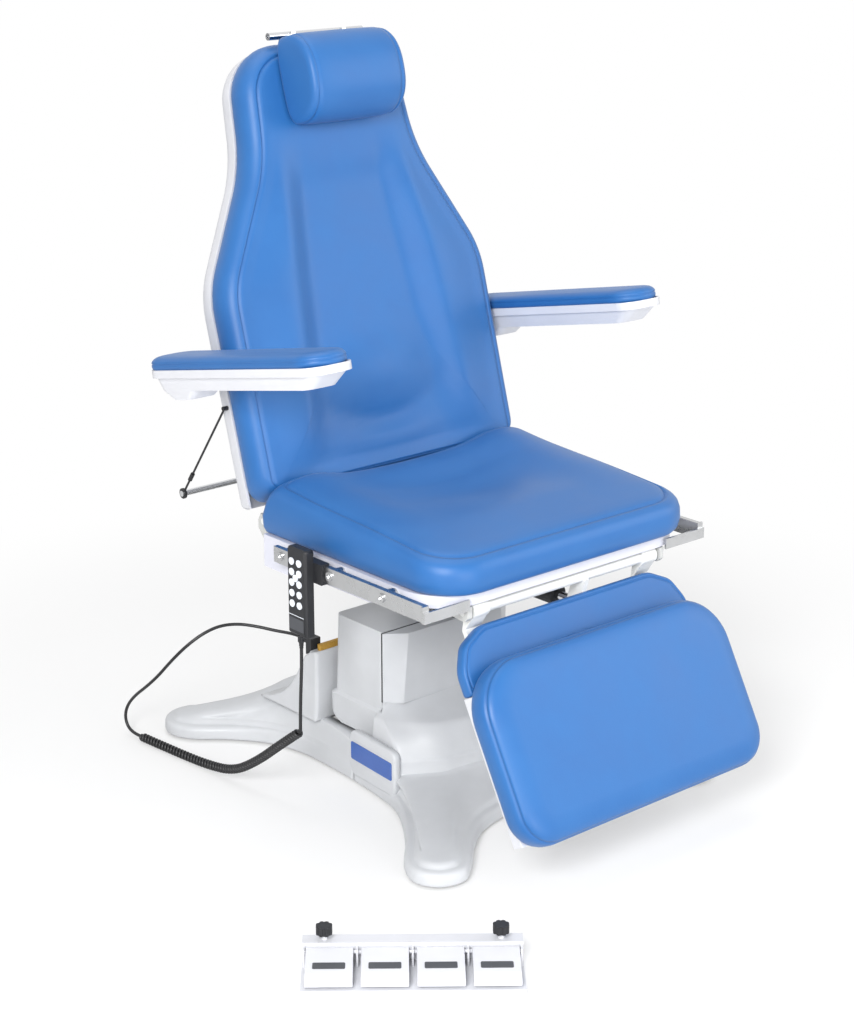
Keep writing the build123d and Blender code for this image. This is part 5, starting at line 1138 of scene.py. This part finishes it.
@dataclass
class Lead:
    """The handset's lead: a straight drop, a curled run down to the floor and a plain arc to its plug.

    Its routes are control points in millimetres, from the handset to the base.
    """

    radius: float = 3.0
    wind: float = 5.7
    turns: int = 64
    drop: Table = (
        (-345.5, -51.5, 340), (-345.5, -51.5, 300), (-348.6, -52.4, 260), (-350, -51.2, 216), (-350, -50, 172),
    )
    curl: Table = (
        (-350, -50, 172), (-350, 7, 129), (-350, 74, 75), (-351, 149, 27), (-351, 235, 10), (-363, 330, 10),
        (-372, 425, 10),
    )
    arc: Table = (
        (-372, 425, 10), (-374, 446, 10), (-375, 465, 19), (-375, 472, 39), (-374, 462, 64), (-372, 438, 90),
        (-368, 406, 116), (-361, 374, 146), (-349, 346, 182), (-331, 322, 214), (-303, 308, 236), (-268, 301, 246),
        (-233, 288, 245), (-205, 264, 239), (-185, 238, 233.5), (-170, 216, 231.5), (-164, 198, 231), (-164, 184, 231),
    )
    arc_length: float = 541.0
    # the curled run lies on the floor from here on
    landing: tuple[float, float, float] = (-350, 235, 10)
    sleeve_ends: tuple[float, float] = (352.0, 326.0)
    sleeve_radii: tuple[float, float] = (6.2, 3.4)
    sleeve_rows: int = 12

    def helix(self) -> tuple[Array, Array]:
        """The curled run: a circle that turns as it goes along the route.

        Its radius opens from the lead's own line over the first turn and closes over the last.

        Returns:
            The winding's points, and a direction at each that lies off its course.
        """
        centre = even(traced(list(self.curl)), self.turns * 24 + 1)
        course = np.gradient(centre, axis=0)
        course /= np.linalg.norm(course, axis=1)[:, None]
        across = np.array([1.0, 0, 0]) - course * course[:, :1]
        across /= np.linalg.norm(across, axis=1)[:, None]
        over = np.cross(course, across)
        share = np.linspace(0, 1, len(centre))
        angle = (2 * math.pi * self.turns * share + math.pi / 2)[:, None]
        reach = ramp(np.minimum(share, 1 - share) * self.turns, 0, 1)[:, None] * self.wind * MM
        outward = across * np.cos(angle) + over * np.sin(angle)
        return centre + outward * reach, outward + course * 1e-3

    def build(self, wear: Wardrobe) -> None:
        """Args:
            wear: The finishes.
        """
        size, sideways = self.radius * MM, np.array([1.0, 0, 0])
        line = traced(list(self.drop))
        straight = wear.dress(tube("lead_straight", line, size, sideways, 16), Finish.LEAD)
        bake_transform(straight)
        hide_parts("lead_drop")
        line, outward = self.helix()
        curled = wear.dress(tube("lead_curled", line, size, outward, 10), Finish.LEAD)
        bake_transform(curled)
        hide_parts("lead_curl")
        curve = spline(list(self.arc))
        curve.bevel_depth, curve.bevel_resolution, curve.use_fill_caps = size, 6, True
        plain = bpy.data.objects.new("lead_plain", curve)
        bpy.context.scene.collection.objects.link(plain)
        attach(wear.dress(plain, Finish.LEAD), "base")
        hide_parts("lead_arc")
        # every other ring of the sleeve is drawn in, which ribs it
        rows = self.sleeve_rows
        x, y = self.drop[0][:2]
        sleeve = np.column_stack([np.full(rows, x), np.full(rows, y), np.linspace(*self.sleeve_ends, rows)]) * MM
        taper = np.linspace(*self.sleeve_radii, rows) * MM - np.where(np.arange(rows) % 2 == 1, 0.5 * MM, 0)
        relief = tube("handset_relief", sleeve, taper, sideways, 20)
        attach(wear.dress(relief, Finish.LEAD), "seat")


def bar(
    name: str,
    plane: Plane,
    size: tuple[float, float, float],
    at: tuple[float, float, float],
    round_mm: float,
    soft: float = 0.6,
) -> bpy.types.Object:
    """A plate with rounded plan corners and softened edges: rings up its side and in over both faces.

    Args:
        name: The piece's name.
        plane: Its working plane.
        size: Its extent along right, up and out, in millimetres.
        at: Its centre, local millimetres.
        round_mm: The radius of its plan corners.
        soft: How far its edges are rounded.

    Returns:
        The plate.
    """
    half_x, half_y, half_z = (extent / 2 for extent in size)
    spots = ((-half_x, -half_y), (half_x, -half_y), (half_x, half_y), (-half_x, half_y))
    outline = rounded([(x, y, round_mm) for x, y in spots], 2, 6)
    soft = min(soft, half_z * 0.9, round_mm * 0.9)
    # share of the rounding that a ring is drawn in, which face it belongs to, and how far short of it
    steps = ((1, -1, 0), (0, -1, 1), (0, 1, -1), (0.08, 1, -0.62), (0.29, 1, -0.29), (0.62, 1, -0.08), (1, 1, 0))
    rings = [
        at_height(drawn_in(outline, inset * soft) + np.array(at[:2]), end * half_z + back * soft + at[2])
        for inset, end, back in steps
    ]
    grid = np.stack(rings)
    count = len(outline)
    last = (len(rings) - 1) * count
    faces = ring_faces(len(rings), count) + [list(range(count))[::-1], list(range(last, last + count))]
    return mesh_piece(name, plane.place(grid.reshape(-1, 3)), faces, soft > 1)


PEDAL_TILT = math.atan2(6.6, 63.4)
PEDAL_FACE = Plane(
    (CONTROL.origin[0], CONTROL.origin[1], 0.0344),
    CONTROL.right,
    tuple(np.array(CONTROL.up) * math.cos(PEDAL_TILT) + np.array([0, 0, 1.0]) * math.sin(PEDAL_TILT)),
)
HANDSET_FACE = Plane((-0.355, -0.0515, 0.431), (0.0, -1.0, 0.0), (0.0, 0.0, 1.0))


@dataclass
class Details:
    """Small fittings that the solids leave out: a plate on each pedal, and the handset's line and label."""

    pedals: int = 4
    pedals_long: float = 341.0
    plate: tuple[float, float, float] = (50, 16, 1.4)
    plate_up: float = -20.0
    line: tuple[float, float, float] = (41, 1.2, 0.6)
    line_up: float = -42.0
    label: tuple[float, float, float] = (39, 22, 0.6)
    label_up: float = -58.0

    def build(self, wear: Wardrobe) -> None:
        """Builds each small piece and sets it on what carries it.

        Args:
            wear: The finishes.
        """
        for index in range(self.pedals):
            middle = (index + 0.5 - self.pedals / 2) * self.pedals_long / self.pedals
            name = f"pedal_plate_{index + 1}"
            plate = bar(name, PEDAL_FACE, self.plate, (middle, self.plate_up, 0.3), 2.5)
            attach(wear.dress(plate, Finish.BOX), f"pedal_{index + 1}")
        line = bar("handset_line", HANDSET_FACE, self.line, (0, self.line_up, 0.1), 0.5)
        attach(wear.dress(line, Finish.KEY), "seat")
        label = bar("handset_label", HANDSET_FACE, self.label, (0, self.label_up, 0.05), 2.0)
        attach(wear.dress(label, Finish.BOX), "seat")


@dataclass
class Solids:
    """The carried-over solids, which get their finish and softened edges."""

    # how far a solid's edges are rounded, in millimetres
    softened: dict[str, float] = field(
        default_factory=lambda: {
            "mast_cover": 5.0, "lift_hood": 6.0, "seat_pan": 1.5, "neck_cover": 2.0, "pedal_base": 1.2,
            "handset_case": 1.6, "arm_shell_left": 2.0, "arm_shell_right": 2.0, "pedal_1": 1.2, "pedal_2": 1.2,
            "pedal_3": 1.2, "pedal_4": 1.2, "control_box": 1.0, "back_shell": 1.0, "leg_shell": 1.0,
            "back_frame": 1.0, "leg_frame": 1.0, "grip_strip": 1.0,
        }
    )
    same_spot: float = 0.01
    sharp: float = 28.0

    def soften(self, piece: bpy.types.Object, width: float) -> None:
        """Welds and rounds the edges of a solid with modifiers, and leaves its mesh alone.

        Args:
            piece: The solid.
            width: The rounding's width in millimetres.
        """
        weld = piece.modifiers.new("weld", "WELD")
        weld.merge_threshold = self.same_spot * MM
        bevel = piece.modifiers.new("edge", "BEVEL")
        bevel.width, bevel.segments = width * MM, 2
        bevel.limit_method, bevel.angle_limit = "ANGLE", math.radians(self.sharp)
        bevel.use_clamp_overlap = True
        bevel.harden_normals = False
        bevel.miter_outer = "MITER_ARC"

    def build(self, frame: dict, wear: Wardrobe) -> None:
        """Dresses every node by its slot in the record.

        Args:
            frame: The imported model.
            wear: The finishes.
        """
        slots = {row["node"]: row["material_slot"] for row in frame["record"]["subparts"]}
        finishes = {finish.value: finish for finish in Finish}
        for name, piece in frame["nodes"].items():
            wear.dress(piece, finishes[slots[name]])
            if name in self.softened:
                self.soften(piece, self.softened[name])


@dataclass
class Studio:
    """The camera that took the photograph, a pale floor and plain soft light."""

    place: tuple[float, float, float] = (-2.4488, -2.8007, 1.7075)
    yaw: float = -40.9915
    pitch: float = 18.1692
    lens: float = 75.97
    sensor: float = 36.0
    aim: tuple[float, float, float] = (0.0, 0.0, 0.5)
    # name, place in metres, size in metres, power in watts
    lamps: tuple[tuple[str, tuple[float, float, float], float, float], ...] = (
        ("key", (-3.0, -2.2, 2.3), 1.4, 150), ("fill", (2.8, -2.4, 1.9), 2.4, 46), ("top", (0.0, 0.6, 4.0), 2.6, 40),
        ("low", (-0.6, -3.6, 0.9), 1.8, 44),
    )
    world_light: float = 0.42
    floor_half: float = 40.0
    # how far from the middle the floor's paper starts to burn out, and is quite white, in metres
    burn: tuple[float, float] = (0.7, 1.7)
    burn_least: float = 0.35

    def camera(self) -> None:
        """Makes the camera where the photograph was taken from."""
        data = bpy.data.cameras.new("camera")
        data.lens, data.sensor_width, data.sensor_fit = self.lens, self.sensor, "AUTO"
        data.clip_start, data.clip_end = 0.05, 60.0
        camera = bpy.data.objects.new("camera", data)
        bpy.context.scene.collection.objects.link(camera)
        camera.location = self.place
        camera.rotation_euler = (math.radians(90 - self.pitch), 0, math.radians(self.yaw))
        bpy.context.scene.camera = camera

    def light(self) -> None:
        """Makes the lamps, each turned to the chair, and the world's even light."""
        for name, spot, size, power in self.lamps:
            data = bpy.data.lights.new(name, "AREA")
            data.size, data.energy = size, power
            lamp = bpy.data.objects.new(name, data)
            bpy.context.scene.collection.objects.link(lamp)
            lamp.location = spot
            aim = np.array(self.aim) - np.array(spot)
            level = math.hypot(aim[0], aim[1])
            lamp.rotation_euler = (math.atan2(level, -aim[2]), 0, math.atan2(-aim[0], aim[1]))
        world = bpy.data.worlds.new("studio")
        bpy.context.scene.world = world
        world.use_nodes = True
        tree = world.node_tree
        tree.nodes.clear()
        path = node(tree, "ShaderNodeLightPath", {}, {})
        # the camera and bright metal see a white studio, and the chair is lit by less
        seen = node(tree, "ShaderNodeMath", {"operation": "MAXIMUM"}, {})
        tree.links.new(path.outputs["Is Camera Ray"], seen.inputs[0])
        tree.links.new(path.outputs["Is Glossy Ray"], seen.inputs[1])
        power = node(
            tree, "ShaderNodeMapRange", {"To Min": self.world_light, "To Max": 1.0}, {"Value": seen.outputs[0]}
        )
        sky = node(tree, "ShaderNodeBackground", {"Color": linear("#FFFFFF")}, {"Strength": power.outputs["Result"]})
        node(tree, "ShaderNodeOutputWorld", {}, {"Surface": sky.outputs["Background"]})

    def floor(self) -> None:
        """Makes the floor: white paper lit by the lamps round the chair, burnt out to white further off."""
        half = self.floor_half
        points = np.array([(-half, -half, 0), (half, -half, 0), (half, half, 0), (-half, half, 0)], float)
        sheet = mesh_piece("floor", points, [[0, 1, 2, 3]], False)
        material = bpy.data.materials.new("white studio paper")
        material.use_nodes = True
        tree = material.node_tree
        tree.nodes.clear()
        place = node(tree, "ShaderNodeTexCoord", {}, {}).outputs["Object"]
        away = node(tree, "ShaderNodeVectorMath", {"operation": "LENGTH"}, {})
        tree.links.new(place, away.inputs[0])
        far = node(
            tree, "ShaderNodeMapRange",
            {
                "From Min": self.burn[0], "From Max": self.burn[1], "To Min": self.burn_least,
                "interpolation_type": "SMOOTHSTEP",
            },
            {"Value": away.outputs["Value"]},
        )
        path = node(tree, "ShaderNodeLightPath", {}, {})
        seen = node(tree, "ShaderNodeMath", {"operation": "MULTIPLY"}, {})
        tree.links.new(path.outputs["Is Camera Ray"], seen.inputs[0])
        tree.links.new(far.outputs["Result"], seen.inputs[1])
        paper = node(tree, "ShaderNodeBsdfDiffuse", {"Color": linear("#F4F4F4")}, {})
        glow = node(tree, "ShaderNodeEmission", {"Color": linear("#FFFFFF"), "Strength": 1.0}, {})
        both = node(tree, "ShaderNodeMixShader", {}, {"Fac": seen.outputs[0]})
        tree.links.new(paper.outputs[0], both.inputs[1])
        tree.links.new(glow.outputs[0], both.inputs[2])
        node(tree, "ShaderNodeOutputMaterial", {}, {"Surface": both.outputs[0]})
        sheet.data.materials.append(material)

    def build(self) -> None:
        """Sets up the studio."""
        self.camera()
        self.light()
        self.floor()
        bpy.context.scene.view_settings.view_transform = "Standard"


def corners(box: tuple[Array, Array]) -> list[list[float]]:
    """A box's two corners as plain lists."""
    return [list(box[0]), list(box[1])]


def main() -> None:
    """Builds the studio, the lead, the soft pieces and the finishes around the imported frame."""
    logging.basicConfig(level=logging.INFO)
    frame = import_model()
    wear = Wardrobe()
    Studio().build()
    Solids().build(frame, wear)
    Lead().build(wear)
    for part in (Base(), Seat(), Back(), Pillow(), Arms(), LegRest(), Details()):
        part.build(wear)


if __name__ == "__main__":
    main()
